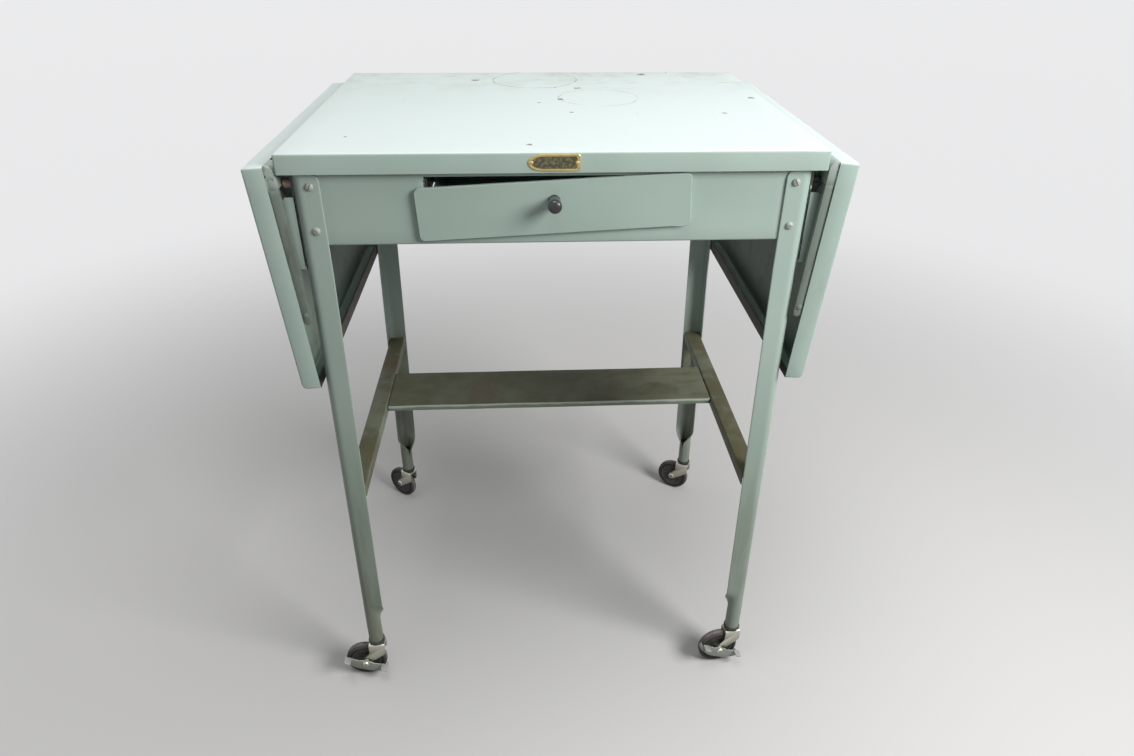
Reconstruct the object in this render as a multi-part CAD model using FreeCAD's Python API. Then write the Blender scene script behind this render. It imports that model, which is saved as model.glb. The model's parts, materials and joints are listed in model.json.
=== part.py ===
import FreeCAD, Part
import math
import os
from FreeCAD import Vector as V

# Pressed-steel typewriter table: fixed top, two drop leaves, a drawer, a shelf and four casters.
# Millimetres, +Z up, floor at z = 0, front of the table towards -Y.
# Pieces are laid out with x = y = 0 at the middle of the top. At the end the whole table is
# moved so that the middle of its bounding box is over the origin.

# ---- top, aprons and sheet -------------------------------------------------------------
TOP_WIDTH = 480.0
TOP_DEPTH = 380.0
TOP_HEIGHT = 673.0
SKIRT = 18.0
SHEET = 1.2
EDGE_RADIUS = 2.0
TOP_HEM = 4.0
APRON_BOTTOM = 589.0
APRON_FLANGE = 12.0

HALF_WIDTH = TOP_WIDTH / 2
HALF_DEPTH = TOP_DEPTH / 2
SKIRT_BOTTOM = TOP_HEIGHT - SKIRT
UNDERSIDE = TOP_HEIGHT - SHEET

# ---- legs ------------------------------------------------------------------------------
LEG_SHEET = 1.5
LEG_FLANGE = 24.0
LEG_OUT_X = 229.3            # outer face of the side flange, above the bend
LEG_FRONT_Y = -185.7
LEG_REAR_Y = 181.0
LEG_TOP = SKIRT_BOTTOM - 1.0
LEG_BEND = 560.0             # the legs splay outwards below this height
SPLAY = {"front": 7.0, "rear": 9.0}
TUBE_RADIUS = 8.8
TUBE_BOTTOM = 61.5
TUBE_SEAM = 80.0             # where the two flanges have closed into a tube
FLANGE_END = 128.0           # where the flanges start to narrow
SPLAY_FULL = 92.0

# ---- leaves ----------------------------------------------------------------------------
PIVOT_X = 249.0
PIVOT_Z = TOP_HEIGHT - 18.5
LEAF_HANG = 94.0             # angle from level to hanging
LEAF_BACK = 7.5              # hinge-side flange to the pivot line
LEAF_REACH = 213.5           # pivot line to the outer edge
LEAF_DEPTH = 18.4
LEAF_LIP = 13.0
LEAF_LIP_DROP = 1.8
ARM_WIDTH = 8.0
ARM_LENGTH = 144.0
ARM_DEPTH = 6.0
ARM_RIVET = 134.0
CAM_REACH = 14.0
PIN_RADIUS = 2.5
RUNNING_FIT = 0.06

# ---- latch bolts -----------------------------------------------------------------------
BOLT_RADIUS = 3.5
BOLT_Y = -173.0
BOLT_Z = PIVOT_Z - 8.3 - BOLT_RADIUS
BOLT_NOSE = 239.7
BOLT_TAIL = 166.0

# ---- drawer ----------------------------------------------------------------------------
DRAWER_X = -1.8
DRAWER_Z = 623.5
DRAWER_TILT = 2.9            # the drawer and its runners sit low at the left
FRONT_WIDTH = 245.0
FRONT_HEIGHT = 48.5
FRONT_FACE = -188.5
FRONT_BACK = -184.5
TRAY_WIDTH = 216.0
TRAY_TOP = 16.4
TRAY_BOTTOM = -14.6
TRAY_REAR = 110.0
TRAY_SHEET = 1.0
TRAY_EAR = 4.0
RUNNER_REAR = 150.0
OPENING_HALF = 116.5
OPENING_BOTTOM = 603.0
OPENING_TOP = 651.0
KNOB_LENGTH = 20.5

# ---- stretchers and shelf --------------------------------------------------------------
STRETCHER_TOP = 305.0
STRETCHER_WIDTH = 21.0
STRETCHER_FLANGE = 14.0
SHELF_TOP = 303.5
SHELF_FRONT = -13.0
SHELF_REAR = 70.0
SHELF_FLANGE = 8.0

# ---- casters ---------------------------------------------------------------------------
WHEEL_RADIUS = 25.5
WHEEL_HALF = 4.75
TRAIL = 16.0
AXLE_RADIUS = 3.0
STEM_RADIUS = 4.0
FORK_INNER = 6.0
FORK_OUTER = 7.8
CROWN_TOP = 55.5
CROWN_HALF = 10.0
CROWN_DEPTH = 3.4
RACE_RADIUS = 7.0
RACE_HEIGHT = 1.3
COLLAR_RADIUS = 10.0
SOCKET_LENGTH = 38.0
HUB_RADIUS = 17.0
AXLE_END_RADIUS = 2.2             # axle's outer end, which the rocker turns on
ROCKER_HALF = 27.6
ROCKER_FACE = 9.7            # rocker's inner face from the wheel's middle plane
ROCKER_SHEET = 1.5
ROCKER_TILT = {"front_left": 19.0, "front_right": 24.0}
CASTER_YAW = {"front_left": 0.0, "front_right": -8.0, "rear_left": 36.0, "rear_right": 31.0}

X_AXIS = V(1, 0, 0)
Y_AXIS = V(0, 1, 0)
Z_AXIS = V(0, 0, 1)


# ---- small helpers ---------------------------------------------------------------------
def box(x0, x1, y0, y1, z0, z1):
    return Part.makeBox(x1 - x0, y1 - y0, z1 - z0, V(x0, y0, z0))


def rod(radius, start, end):
    start, end = V(*start), V(*end)
    return Part.makeCylinder(radius, (end - start).Length, start, end - start)


def fuse(*shapes):
    return shapes[0].multiFuse(list(shapes[1:])).removeSplitter()


def cut(shape, *tools):
    for tool in tools:
        shape = shape.cut(tool)
    return shape


def plate_xz(points, y0, y1):
    """A flat plate with the given outline in x and z, from y0 to y1."""
    corners = [V(x, y0, z) for x, z in points]
    face = Part.Face(Part.makePolygon(corners + corners[:1]))
    return face.extrude(V(0, y1 - y0, 0))


def mirror_x(shape):
    return shape.mirror(V(0, 0, 0), X_AXIS)


def mirror_y(shape):
    return shape.mirror(V(0, 0, 0), Y_AXIS)


def turned(shape, angle, centre, axis):
    copy = shape.copy()
    copy.rotate(V(*centre), axis, angle)
    return copy


def rounded_box(x0, x1, y0, y1, z0, z1, radius):
    """A box whose top and upright edges are rounded, with a sharp lower rim."""
    block = box(x0, x1, y0, y1, z0, z1)
    edges = [e for e in block.Edges if e.BoundBox.ZMax > z0 + 0.01]
    return block.makeFillet(radius, edges)


def pan(x0, x1, y0, y1, z0, z1, sheet, radius):
    """A pressed sheet pan, open underneath."""
    inner = rounded_box(x0 + sheet, x1 - sheet, y0 + sheet, y1 - sheet, z0 - 1, z1 - sheet,
                        radius - sheet)
    return rounded_box(x0, x1, y0, y1, z0, z1, radius).cut(inner)


def pan_head(radius, height, shank, x, y, z, length):
    """A slotted screw whose head stands out towards -Y from y, shank running back."""
    head = rod(radius, (x, y, z), (x, y - height, z))
    rim = [e for e in head.Edges if abs(e.BoundBox.YMax - (y - height)) < 0.01
           and e.BoundBox.YLength < 0.01]
    head = head.makeFillet(height * 0.6, rim)
    slot = box(x - radius - 1, x + radius + 1, y - height - 1, y - height * 0.45, z - 0.5, z + 0.5)
    slot.rotate(V(x, y, z), Y_AXIS, 35)
    return fuse(head.cut(slot), rod(shank, (x, y, z), (x, y + length, z)))


def rivet(radius, start, end, head):
    """A rivet with a low head at each end of its grip."""
    start, end = V(*start), V(*end)
    along = (end - start).normalize()
    body = Part.makeCylinder(radius, (end - start).Length, start, along)
    heads = [Part.makeCone(radius * 1.9, radius * 1.2, head, start, along.negative()),
             Part.makeCone(radius * 1.9, radius * 1.2, head, end, along)]
    return fuse(body, *heads)


nodes = {}


def add(node, *shapes):
    """Keep one node; several shapes stay separate solids in it."""
    nodes[node] = [solid for shape in shapes for solid in shape.Solids]


def export_all():
    """Centre the whole table over the origin and write one file for each node."""
    every = Part.makeCompound([solid for solids in nodes.values() for solid in solids])
    box = every.optimalBoundingBox(False)
    middle = V(-(box.XMin + box.XMax) / 2, -(box.YMin + box.YMax) / 2, 0)
    print("moved by", [round(v, 3) for v in middle], "height", round(box.ZMin, 3), round(box.ZMax, 3))
    for node, solids in nodes.items():
        shape = solids[0].copy() if len(solids) == 1 else Part.makeCompound(solids)
        shape.translate(middle)
        shape.exportStep("parts/" + node + ".step")
        print(node, len(solids), "solids", round(shape.Volume), "mm3")


# ---- top -------------------------------------------------------------------------------
SCREW_ROWS = (643.5, 603.3)
SCREW_X = 214.0
SCREW_SHANK = 2.0
SCREW_LENGTH = 5.5           # through the nut, and clear of the latch bolt's collar
BADGE_X, BADGE_Z = -2.0, 664.2
BADGE_WIDTH, BADGE_HEIGHT, BADGE_SHEET = 45.0, 14.5, 0.9
BADGE_PIN_X = 19.8


def table_top():
    top = pan(-HALF_WIDTH, HALF_WIDTH, -HALF_DEPTH, HALF_DEPTH, SKIRT_BOTTOM, TOP_HEIGHT,
              SHEET, EDGE_RADIUS)
    hem = rounded_box(-HALF_WIDTH, HALF_WIDTH, -HALF_DEPTH, HALF_DEPTH, SKIRT_BOTTOM, TOP_HEIGHT,
                      EDGE_RADIUS)
    hem = hem.common(box(-HALF_WIDTH, HALF_WIDTH, -HALF_DEPTH, HALF_DEPTH, SKIRT_BOTTOM,
                         SKIRT_BOTTOM + SHEET))
    inset = TOP_HEM
    hem = hem.cut(box(-HALF_WIDTH + inset, HALF_WIDTH - inset, -HALF_DEPTH + inset,
                      HALF_DEPTH - inset, SKIRT_BOTTOM - 1, TOP_HEIGHT))
    return cut(fuse(top, hem), *badge_pins(False))


def badge_plate():
    plate = box(BADGE_X - BADGE_WIDTH / 2, BADGE_X + BADGE_WIDTH / 2, -HALF_DEPTH - BADGE_SHEET,
                -HALF_DEPTH, BADGE_Z - BADGE_HEIGHT / 2, BADGE_Z + BADGE_HEIGHT / 2)
    upright = [e for e in plate.Edges if e.BoundBox.YLength > BADGE_SHEET / 2]
    return cut(plate.makeFillet(4.0, upright), *badge_pins(False))


def badge_pins(with_heads):
    pins = []
    for side in (-1, 1):
        x = BADGE_X + side * BADGE_PIN_X
        shank = rod(1.0, (x, -HALF_DEPTH - BADGE_SHEET, BADGE_Z), (x, -HALF_DEPTH + 2, BADGE_Z))
        head = rod(1.7, (x, -HALF_DEPTH - BADGE_SHEET - 0.7, BADGE_Z),
                   (x, -HALF_DEPTH - BADGE_SHEET, BADGE_Z))
        pins.append(fuse(shank, head) if with_heads else shank)
    return pins


# ---- aprons ----------------------------------------------------------------------------
APRON_FRONT_FACE = LEG_FRONT_Y + LEG_SHEET
APRON_REAR_FACE = LEG_REAR_Y - LEG_SHEET
APRON_SIDE_FACE = LEG_OUT_X - LEG_SHEET
FLANGE_CLEAR = 14.0          # keeps the turned flanges out of the corners
CORNER_CLEAR = TUBE_RADIUS - LEG_SHEET + 0.3   # and the sheets out of the legs' round corners


def shank_holes():
    """Straight holes for the leg screws, through the front and rear."""
    holes = []
    for side in (-1, 1):
        for z in SCREW_ROWS:
            x = side * SCREW_X
            holes.append(rod(SCREW_SHANK, (x, LEG_FRONT_Y - 5, z), (x, LEG_FRONT_Y + 12, z)))
            holes.append(rod(SCREW_SHANK, (x, LEG_REAR_Y - 12, z), (x, LEG_REAR_Y + 5, z)))
    return holes


def long_apron(face, inward):
    """Front or rear apron, with its flanges turned inward along the top and bottom."""
    inner = face + inward * SHEET
    turned_in = face + inward * APRON_FLANGE
    half = APRON_SIDE_FACE - CORNER_CLEAR
    y0, y1 = sorted((face, inner))
    f0, f1 = sorted((face, turned_in))
    reach = APRON_SIDE_FACE - FLANGE_CLEAR
    return fuse(box(-half, half, y0, y1, APRON_BOTTOM, UNDERSIDE),
                box(-reach, reach, f0, f1, APRON_BOTTOM, APRON_BOTTOM + SHEET),
                box(-reach, reach, f0, f1, UNDERSIDE - SHEET, UNDERSIDE))


def apron_front():
    apron = long_apron(APRON_FRONT_FACE, 1)
    opening = box(-OPENING_HALF, OPENING_HALF, APRON_FRONT_FACE - 5, APRON_FRONT_FACE + SHEET + 1,
                  OPENING_BOTTOM, OPENING_TOP)
    return cut(apron, opening, *shank_holes())


def apron_rear():
    return cut(long_apron(APRON_REAR_FACE, -1), *shank_holes())


def apron_side():
    """The right-hand side apron, between the front and rear ones."""
    face = APRON_SIDE_FACE
    front = APRON_FRONT_FACE + CORNER_CLEAR
    rear = APRON_REAR_FACE - CORNER_CLEAR
    low = box(face - APRON_FLANGE, face, APRON_FRONT_FACE + FLANGE_CLEAR,
              APRON_REAR_FACE - FLANGE_CLEAR, APRON_BOTTOM, APRON_BOTTOM + SHEET)
    high = box(face - APRON_FLANGE, face, APRON_FRONT_FACE + FLANGE_CLEAR,
               APRON_REAR_FACE - FLANGE_CLEAR, UNDERSIDE - SHEET, UNDERSIDE)
    wall = box(face - SHEET, face, front, rear, APRON_BOTTOM, UNDERSIDE)
    return cut(fuse(wall, low, high), bolt_hole(), *bracket_rivets(False))


def bolt_hole():
    return rod(BOLT_RADIUS + 0.4, (LEG_OUT_X - 30, BOLT_Y, BOLT_Z), (LEG_OUT_X + 5, BOLT_Y, BOLT_Z))


# ---- legs ------------------------------------------------------------------------------
def leg_section(z, shift):
    """L-shaped outline of a leg with its corner at the origin and flanges to -X and +Y."""
    r, t, f = TUBE_RADIUS, LEG_SHEET, LEG_FLANGE
    diagonal = math.sqrt(0.5)
    outer = V(-r + r * diagonal, r - r * diagonal, 0)
    inner = V(-r + (r - t) * diagonal, r - (r - t) * diagonal, 0)
    edges = [
        Part.LineSegment(V(-f, 0, 0), V(-r, 0, 0)).toShape(),
        Part.Arc(V(-r, 0, 0), outer, V(0, r, 0)).toShape(),
        Part.LineSegment(V(0, r, 0), V(0, f, 0)).toShape(),
        Part.LineSegment(V(0, f, 0), V(-t, f, 0)).toShape(),
        Part.LineSegment(V(-t, f, 0), V(-t, r, 0)).toShape(),
        Part.Arc(V(-t, r, 0), inner, V(-r, t, 0)).toShape(),
        Part.LineSegment(V(-r, t, 0), V(-f, t, 0)).toShape(),
        Part.LineSegment(V(-f, t, 0), V(-f, 0, 0)).toShape(),
    ]
    wire = Part.Wire(edges)
    wire.translate(V(shift, 0, z))
    return wire


def flange_trim():
    """Cuts the end of the flange that lies along X to a rounded tongue."""
    f, r = LEG_FLANGE, TUBE_RADIUS
    low = TUBE_SEAM - 6
    edges = [
        Part.LineSegment(V(-f - 2, -1, FLANGE_END), V(-f, -1, FLANGE_END)).toShape(),
        Part.Arc(V(-f, -1, FLANGE_END), V(-f + 3.5, -1, TUBE_SEAM + 16), V(-r, -1, TUBE_SEAM - 4))
            .toShape(),
        Part.LineSegment(V(-r, -1, TUBE_SEAM - 4), V(-r, -1, low)).toShape(),
        Part.LineSegment(V(-r, -1, low), V(-f - 2, -1, low)).toShape(),
        Part.LineSegment(V(-f - 2, -1, low), V(-f - 2, -1, FLANGE_END)).toShape(),
    ]
    return Part.Face(Part.Wire(edges)).extrude(V(0, 5, 0))


def leg_tube():
    """The closed foot of a leg; its top is cut on a slant that runs into the flanges."""
    r, t = TUBE_RADIUS, LEG_SHEET
    top = FLANGE_END - 8
    tube = rod(r, (-r, r, TUBE_BOTTOM), (-r, r, top)).cut(
        rod(r - t, (-r, r, TUBE_BOTTOM - 1), (-r, r, top + 1)))
    above = Part.makeBox(80, 80, 80, V(-40, -40, 0))
    above.rotate(V(0, 0, 0), V(-1, -1, 0), 62)
    inner_side = r * math.sqrt(0.5)
    above.translate(V(-r - inner_side, r + inner_side, TUBE_SEAM))
    return tube.cut(above)


def leg(where):
    """A right-hand leg with its outer corner at x = 0, y = 0, flanges to -X and +Y."""
    splay = SPLAY[where]
    low = TUBE_SEAM - 5
    slope = splay / (LEG_BEND - SPLAY_FULL)
    upper = Part.Face(leg_section(LEG_BEND, 0)).extrude(V(0, 0, LEG_TOP - LEG_BEND))
    lower = Part.makeLoft([leg_section(LEG_BEND, 0),
                           leg_section(low, slope * (LEG_BEND - low))], True, True)
    trims = [flange_trim(), flange_trim().mirror(V(0, 0, 0), V(1, 1, 0))]
    for trim in trims:
        trim.translate(V(splay, 0, 0))
        lower = lower.cut(trim)
    tube = leg_tube()
    tube.translate(V(splay, 0, 0))
    bore = rod(TUBE_RADIUS - LEG_SHEET, (splay - TUBE_RADIUS, TUBE_RADIUS, 0),
               (splay - TUBE_RADIUS, TUBE_RADIUS, TUBE_BOTTOM + SOCKET_LENGTH + 1))
    round_off = 6.0
    f, t = LEG_FLANGE, LEG_SHEET
    corner = cut(box(-f - 1, -f + round_off, -1, t + 1, LEG_TOP - round_off, LEG_TOP + 1),
                 rod(round_off, (-f + round_off, -2, LEG_TOP - round_off),
                     (-f + round_off, t + 2, LEG_TOP - round_off)))
    other = corner.mirror(V(0, 0, 0), V(1, 1, 0))
    return cut(fuse(upper, lower, tube), bore, corner, other)


def place_leg(shape, where, side):
    """Move a piece built at a leg's outer corner to that leg."""
    shape = shape.copy()
    if where == "rear":
        shape = mirror_y(shape)
    shape.translate(V(LEG_OUT_X, LEG_FRONT_Y if where == "front" else LEG_REAR_Y, 0))
    return shape if side > 0 else mirror_x(shape)


CORNERS = [("front", -1), ("front", 1), ("rear", -1), ("rear", 1)]


def corner_name(where, side):
    return where + ("_left" if side < 0 else "_right")


def stem_place(where, side):
    """Centre of a leg's tube."""
    x = side * (LEG_OUT_X + SPLAY[where] - TUBE_RADIUS)
    y = LEG_FRONT_Y + TUBE_RADIUS if where == "front" else LEG_REAR_Y - TUBE_RADIUS
    return x, y


def finished_leg(where, side):
    shape = place_leg(leg(where), where, side)
    tools = shank_holes() + both_sides(bracket_rivets(False)) + both_sides([bolt_hole()])
    tools += both_sides(stretcher_rivets(False))
    return cut(shape, *tools)


def both_sides(shapes):
    return list(shapes) + [mirror_x(s) for s in shapes]


def leg_screws():
    screws = []
    for side in (-1, 1):
        for z in SCREW_ROWS:
            front = pan_head(3.65, 2.2, SCREW_SHANK, side * SCREW_X, LEG_FRONT_Y, z, SCREW_LENGTH)
            rear = mirror_y(pan_head(3.65, 2.2, SCREW_SHANK, side * SCREW_X, -LEG_REAR_Y, z,
                                     SCREW_LENGTH))
            screws += [front, rear]
    return screws


def leg_nuts():
    nuts = []
    hexagon = [V(3.9 * math.cos(k * math.pi / 3), 0, 3.9 * math.sin(k * math.pi / 3))
               for k in range(7)]
    blank = Part.Face(Part.makePolygon(hexagon)).extrude(V(0, 2.6, 0))
    blank = blank.cut(rod(SCREW_SHANK, (0, -1, 0), (0, 4, 0)))
    for side in (-1, 1):
        for z in SCREW_ROWS:
            for y in (APRON_FRONT_FACE + SHEET, APRON_REAR_FACE - SHEET - 2.6):
                nut = blank.copy()
                nut.translate(V(side * SCREW_X, y, z))
                nuts.append(nut)
    return nuts


# ---- stretchers and shelf --------------------------------------------------------------
STRETCHER_RIVET_Z = (277.0, 247.0)
STRETCHER_TAB_BOTTOM = 240.0
STRETCHER_GAP = 0.15


def leg_face_x(where, z):
    """Outer x of a right-hand leg at height z, below the bend."""
    return LEG_OUT_X + SPLAY[where] * (LEG_BEND - z) / (LEG_BEND - SPLAY_FULL)


STRETCHER_OUT = leg_face_x("front", STRETCHER_TOP) - LEG_SHEET - STRETCHER_GAP
STRETCHER_IN = STRETCHER_OUT - STRETCHER_WIDTH


def stretcher():
    """The right-hand rail from leg to leg: a channel, open underneath, with end tabs."""
    y0 = LEG_FRONT_Y + TUBE_RADIUS + 1
    y1 = LEG_REAR_Y - TUBE_RADIUS - 1
    rail = pan(STRETCHER_IN, STRETCHER_OUT, y0, y1, STRETCHER_TOP - STRETCHER_FLANGE,
               STRETCHER_TOP, SHEET, EDGE_RADIUS)
    mouth = box(STRETCHER_IN + 3, STRETCHER_OUT - 3, y0 - 1, y0 + 3,
                STRETCHER_TOP - STRETCHER_FLANGE - 1, STRETCHER_TOP - 3)
    other_mouth = mouth.copy()
    other_mouth.translate(V(0, y1 - y0 - 2, 0))
    tabs = []
    tab_in, tab_out = STRETCHER_IN + 1, STRETCHER_OUT - 8.3
    for face, inward in ((APRON_FRONT_FACE, 1), (APRON_REAR_FACE, -1)):
        near = face + inward * STRETCHER_GAP
        t0, t1 = sorted((near, near + inward * SHEET))
        neck = sorted((near, y0 + 4 if inward > 0 else y1 - 4))
        tabs.append(box(tab_in, tab_out, t0, t1, STRETCHER_TAB_BOTTOM, STRETCHER_TOP - 2))
        tabs.append(box(tab_in, tab_out, neck[0], neck[1], STRETCHER_TOP - 3.2,
                        STRETCHER_TOP - 2))
    shape = fuse(cut(rail, mouth, other_mouth), *tabs)
    return cut(shape, *stretcher_rivets(False), *shelf_rivets(False))


def stretcher_rivets(with_heads):
    """Rivets of the right-hand rail's end tabs. The front ones are ground flush outside."""
    rivets = []
    x = STRETCHER_OUT - 13.5
    grip = LEG_SHEET + SHEET + STRETCHER_GAP
    outside = box(x - 5, x + 5, LEG_FRONT_Y - 5, LEG_FRONT_Y, 0, STRETCHER_TOP)
    for z in STRETCHER_RIVET_Z:
        if with_heads:
            front = rivet(1.6, (x, LEG_FRONT_Y, z), (x, LEG_FRONT_Y + grip, z), 1.2)
            rivets.append(front.cut(outside))
            rivets.append(rivet(1.6, (x, LEG_REAR_Y - grip, z), (x, LEG_REAR_Y, z), 1.2))
        else:
            rivets.append(rod(1.6, (x, LEG_FRONT_Y - 4, z), (x, LEG_FRONT_Y + 9, z)))
            rivets.append(rod(1.6, (x, LEG_REAR_Y - 9, z), (x, LEG_REAR_Y + 4, z)))
    return rivets


def shelf():
    half = STRETCHER_IN - STRETCHER_GAP
    body = pan(-half, half, SHELF_FRONT, SHELF_REAR, SHELF_TOP - SHELF_FLANGE, SHELF_TOP,
               SHEET, EDGE_RADIUS)
    return cut(body, *both_sides(shelf_rivets(False)))


def shelf_rivets(with_heads):
    """Rivets that join the shelf's end flange to the right-hand rail."""
    x = STRETCHER_IN
    z = SHELF_TOP - 5.0
    rivets = []
    for y in (SHELF_FRONT + 14, SHELF_REAR - 14):
        if with_heads:
            rivets.append(rivet(1.5, (x - STRETCHER_GAP - SHEET, y, z), (x + SHEET, y, z), 1.0))
        else:
            rivets.append(rod(1.5, (x - 5, y, z), (x + 5, y, z)))
    return rivets


# ---- leaf hinges -----------------------------------------------------------------------
BRACKET_BOTTOM = 565.0
BRACKET_CUT = 633.0          # the bracket's front web stops here and leaves a dark opening
BRACKET_FRONT = -181.0
BRACKET_WIDTH = 11.7
EAR_Y = -166.0
EAR_RADIUS = 5.7
BRACKET_RIVET_Z = (600.0, 620.0)


def hinge_bracket():
    """Front right bracket: a channel on the leg's side whose rear wall carries the pivot ear."""
    x0, x1 = LEG_OUT_X, LEG_OUT_X + BRACKET_WIDTH
    base = box(x0, x0 + LEG_SHEET, BRACKET_FRONT, EAR_Y + LEG_SHEET, BRACKET_BOTTOM, LEG_TOP - 2)
    web = box(x0, x1, BRACKET_FRONT, BRACKET_FRONT + LEG_SHEET, BRACKET_BOTTOM, BRACKET_CUT)
    ear = plate_xz([(x0, BRACKET_BOTTOM + 40), (x0, LEG_TOP - 2), (PIVOT_X - 4, LEG_TOP - 2),
                    (PIVOT_X, PIVOT_Z), (PIVOT_X + 3.2, PIVOT_Z - 4.7)],
                   EAR_Y, EAR_Y + LEG_SHEET)
    eye = rod(EAR_RADIUS, (PIVOT_X, EAR_Y, PIVOT_Z), (PIVOT_X, EAR_Y + LEG_SHEET, PIVOT_Z))
    bore = rod(PIN_RADIUS + RUNNING_FIT, (PIVOT_X, EAR_Y - 1, PIVOT_Z),
               (PIVOT_X, EAR_Y + LEG_SHEET + 1, PIVOT_Z))
    return cut(fuse(base, web, ear, eye), bore, bolt_hole(), *bracket_rivets(False))


def bracket_rivets(with_heads):
    """Rivets of the two right-hand brackets, through bracket, leg and apron."""
    rivets = []
    for z in BRACKET_RIVET_Z:
        for y in (BOLT_Y, -BOLT_Y):
            start, end = LEG_OUT_X - LEG_SHEET - SHEET, LEG_OUT_X + LEG_SHEET
            if with_heads:
                rivets.append(rivet(1.8, (start, y, z), (end, y, z), 1.2))
            else:
                rivets.append(rod(1.8, (start - 3, y, z), (end + 3, y, z)))
    return rivets


# ---- leaf, built level for the right-hand side and then turned down ----------------------
FLANGE_INNER = -HALF_DEPTH + SHEET
ARM_FRONT = FLANGE_INNER
ARM_SHEET = 1.5
TAB_WIDTH = 16.0


def hang(shape):
    """Turn a level right-hand leaf piece down to its rest place."""
    return turned(shape, LEAF_HANG, (PIVOT_X, 0, PIVOT_Z), Y_AXIS)


def leaf():
    x0, x1 = PIVOT_X - LEAF_BACK, PIVOT_X + LEAF_REACH
    rim = TOP_HEIGHT - LEAF_DEPTH
    drop = PIVOT_Z - LEAF_LIP_DROP
    skin = pan(x0, x1, -HALF_DEPTH, HALF_DEPTH, rim, TOP_HEIGHT, SHEET, EDGE_RADIUS)
    side = HALF_DEPTH - EDGE_RADIUS
    deep = box(x1 - SHEET, x1, -side, side, drop, rim + 1)
    lip = box(x1 - LEAF_LIP, x1, -side, side, drop, drop + SHEET)
    tabs = []
    middle = PIVOT_X + ARM_RIVET
    t0, t1 = middle - TAB_WIDTH / 2, middle + TAB_WIDTH / 2
    behind = ARM_FRONT + ARM_SHEET
    spacer = box(t0, t1, ARM_FRONT, behind + SHEET, rim + 0.6, rim + 7)
    tab = box(t0, t1, behind, behind + SHEET, PIVOT_Z - ARM_WIDTH + 1, rim + 1)
    for piece in (spacer, tab):
        tabs += [piece, mirror_y(piece)]
    return cut(fuse(skin, deep, lip, *tabs), *arm_rivets(False))


def arm():
    """Front right support arm: a light channel with a square-toed cam at its pivot end."""
    back = ARM_FRONT + ARM_SHEET
    under = PIVOT_Z - ARM_WIDTH
    end = PIVOT_X + ARM_LENGTH
    strip = box(PIVOT_X, end - ARM_WIDTH / 2, ARM_FRONT, back, under, PIVOT_Z)
    tip = rod(ARM_WIDTH / 2, (end - ARM_WIDTH / 2, ARM_FRONT, PIVOT_Z - ARM_WIDTH / 2),
              (end - ARM_WIDTH / 2, back, PIVOT_Z - ARM_WIDTH / 2))
    lug = box(PIVOT_X, PIVOT_X + 14, ARM_FRONT, back, PIVOT_Z - 1, PIVOT_Z + 9.5)
    walls_to = PIVOT_X + ARM_RIVET - TAB_WIDTH / 2 - 2
    deep = ARM_FRONT + ARM_DEPTH
    lower = box(PIVOT_X + CAM_REACH, walls_to, ARM_FRONT, deep, under, under + SHEET)
    upper = box(PIVOT_X + CAM_REACH, walls_to, ARM_FRONT, deep, PIVOT_Z - SHEET, PIVOT_Z)
    cam_rear = EAR_Y - 1.0
    pieces = [strip, tip, lug, lower, upper]
    pieces.append(box(PIVOT_X, PIVOT_X + CAM_REACH, ARM_FRONT, cam_rear, under, PIVOT_Z))
    wide = rod(ARM_WIDTH, (PIVOT_X, ARM_FRONT, PIVOT_Z), (PIVOT_X, cam_rear, PIVOT_Z))
    below = box(PIVOT_X - 20, PIVOT_X + 20, ARM_FRONT - 1, cam_rear + 1, PIVOT_Z - 20, PIVOT_Z)
    pieces.append(wide.common(below))
    pieces.append(rod(LEAF_BACK - SHEET - 0.4, (PIVOT_X, ARM_FRONT, PIVOT_Z),
                      (PIVOT_X, cam_rear, PIVOT_Z)))
    bore = rod(PIN_RADIUS, (PIVOT_X, ARM_FRONT - 1, PIVOT_Z), (PIVOT_X, cam_rear + 1, PIVOT_Z))
    return cut(fuse(*pieces), bore, *arm_rivets(False))


def arm_rivets(with_heads):
    """Rivets at the outer ends of the two right-hand arms."""
    x, z = PIVOT_X + ARM_RIVET, PIVOT_Z - 3.6
    grip = ARM_SHEET + SHEET
    if with_heads:
        front = rivet(1.5, (x, ARM_FRONT, z), (x, ARM_FRONT + grip, z), 1.0)
    else:
        front = rod(1.5, (x, ARM_FRONT - 3, z), (x, ARM_FRONT + grip + 3, z))
    return [front, mirror_y(front)]


def hinge_pin():
    """Front right pivot pin, fixed in the arm and turning in the bracket's ear."""
    ear_back = EAR_Y + LEG_SHEET
    return fuse(rod(PIN_RADIUS, (PIVOT_X, ARM_FRONT, PIVOT_Z), (PIVOT_X, ear_back + 0.4, PIVOT_Z)),
                rod(PIN_RADIUS + 1.6, (PIVOT_X, ear_back + 0.4, PIVOT_Z),
                    (PIVOT_X, ear_back + 2.0, PIVOT_Z)))


# ---- latch bolts -----------------------------------------------------------------------
GUIDE_X = (184.0, 223.0)
GUIDE_HALF = 7.0
GUIDE_TOP = UNDERSIDE - SHEET
COLLAR = (205.5, 208.5)
SPRING_WIRE = 0.5
SPRING_MEAN = 4.9
SPRING_TURNS = 5
POINTS_IN_A_TURN = 16


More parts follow.
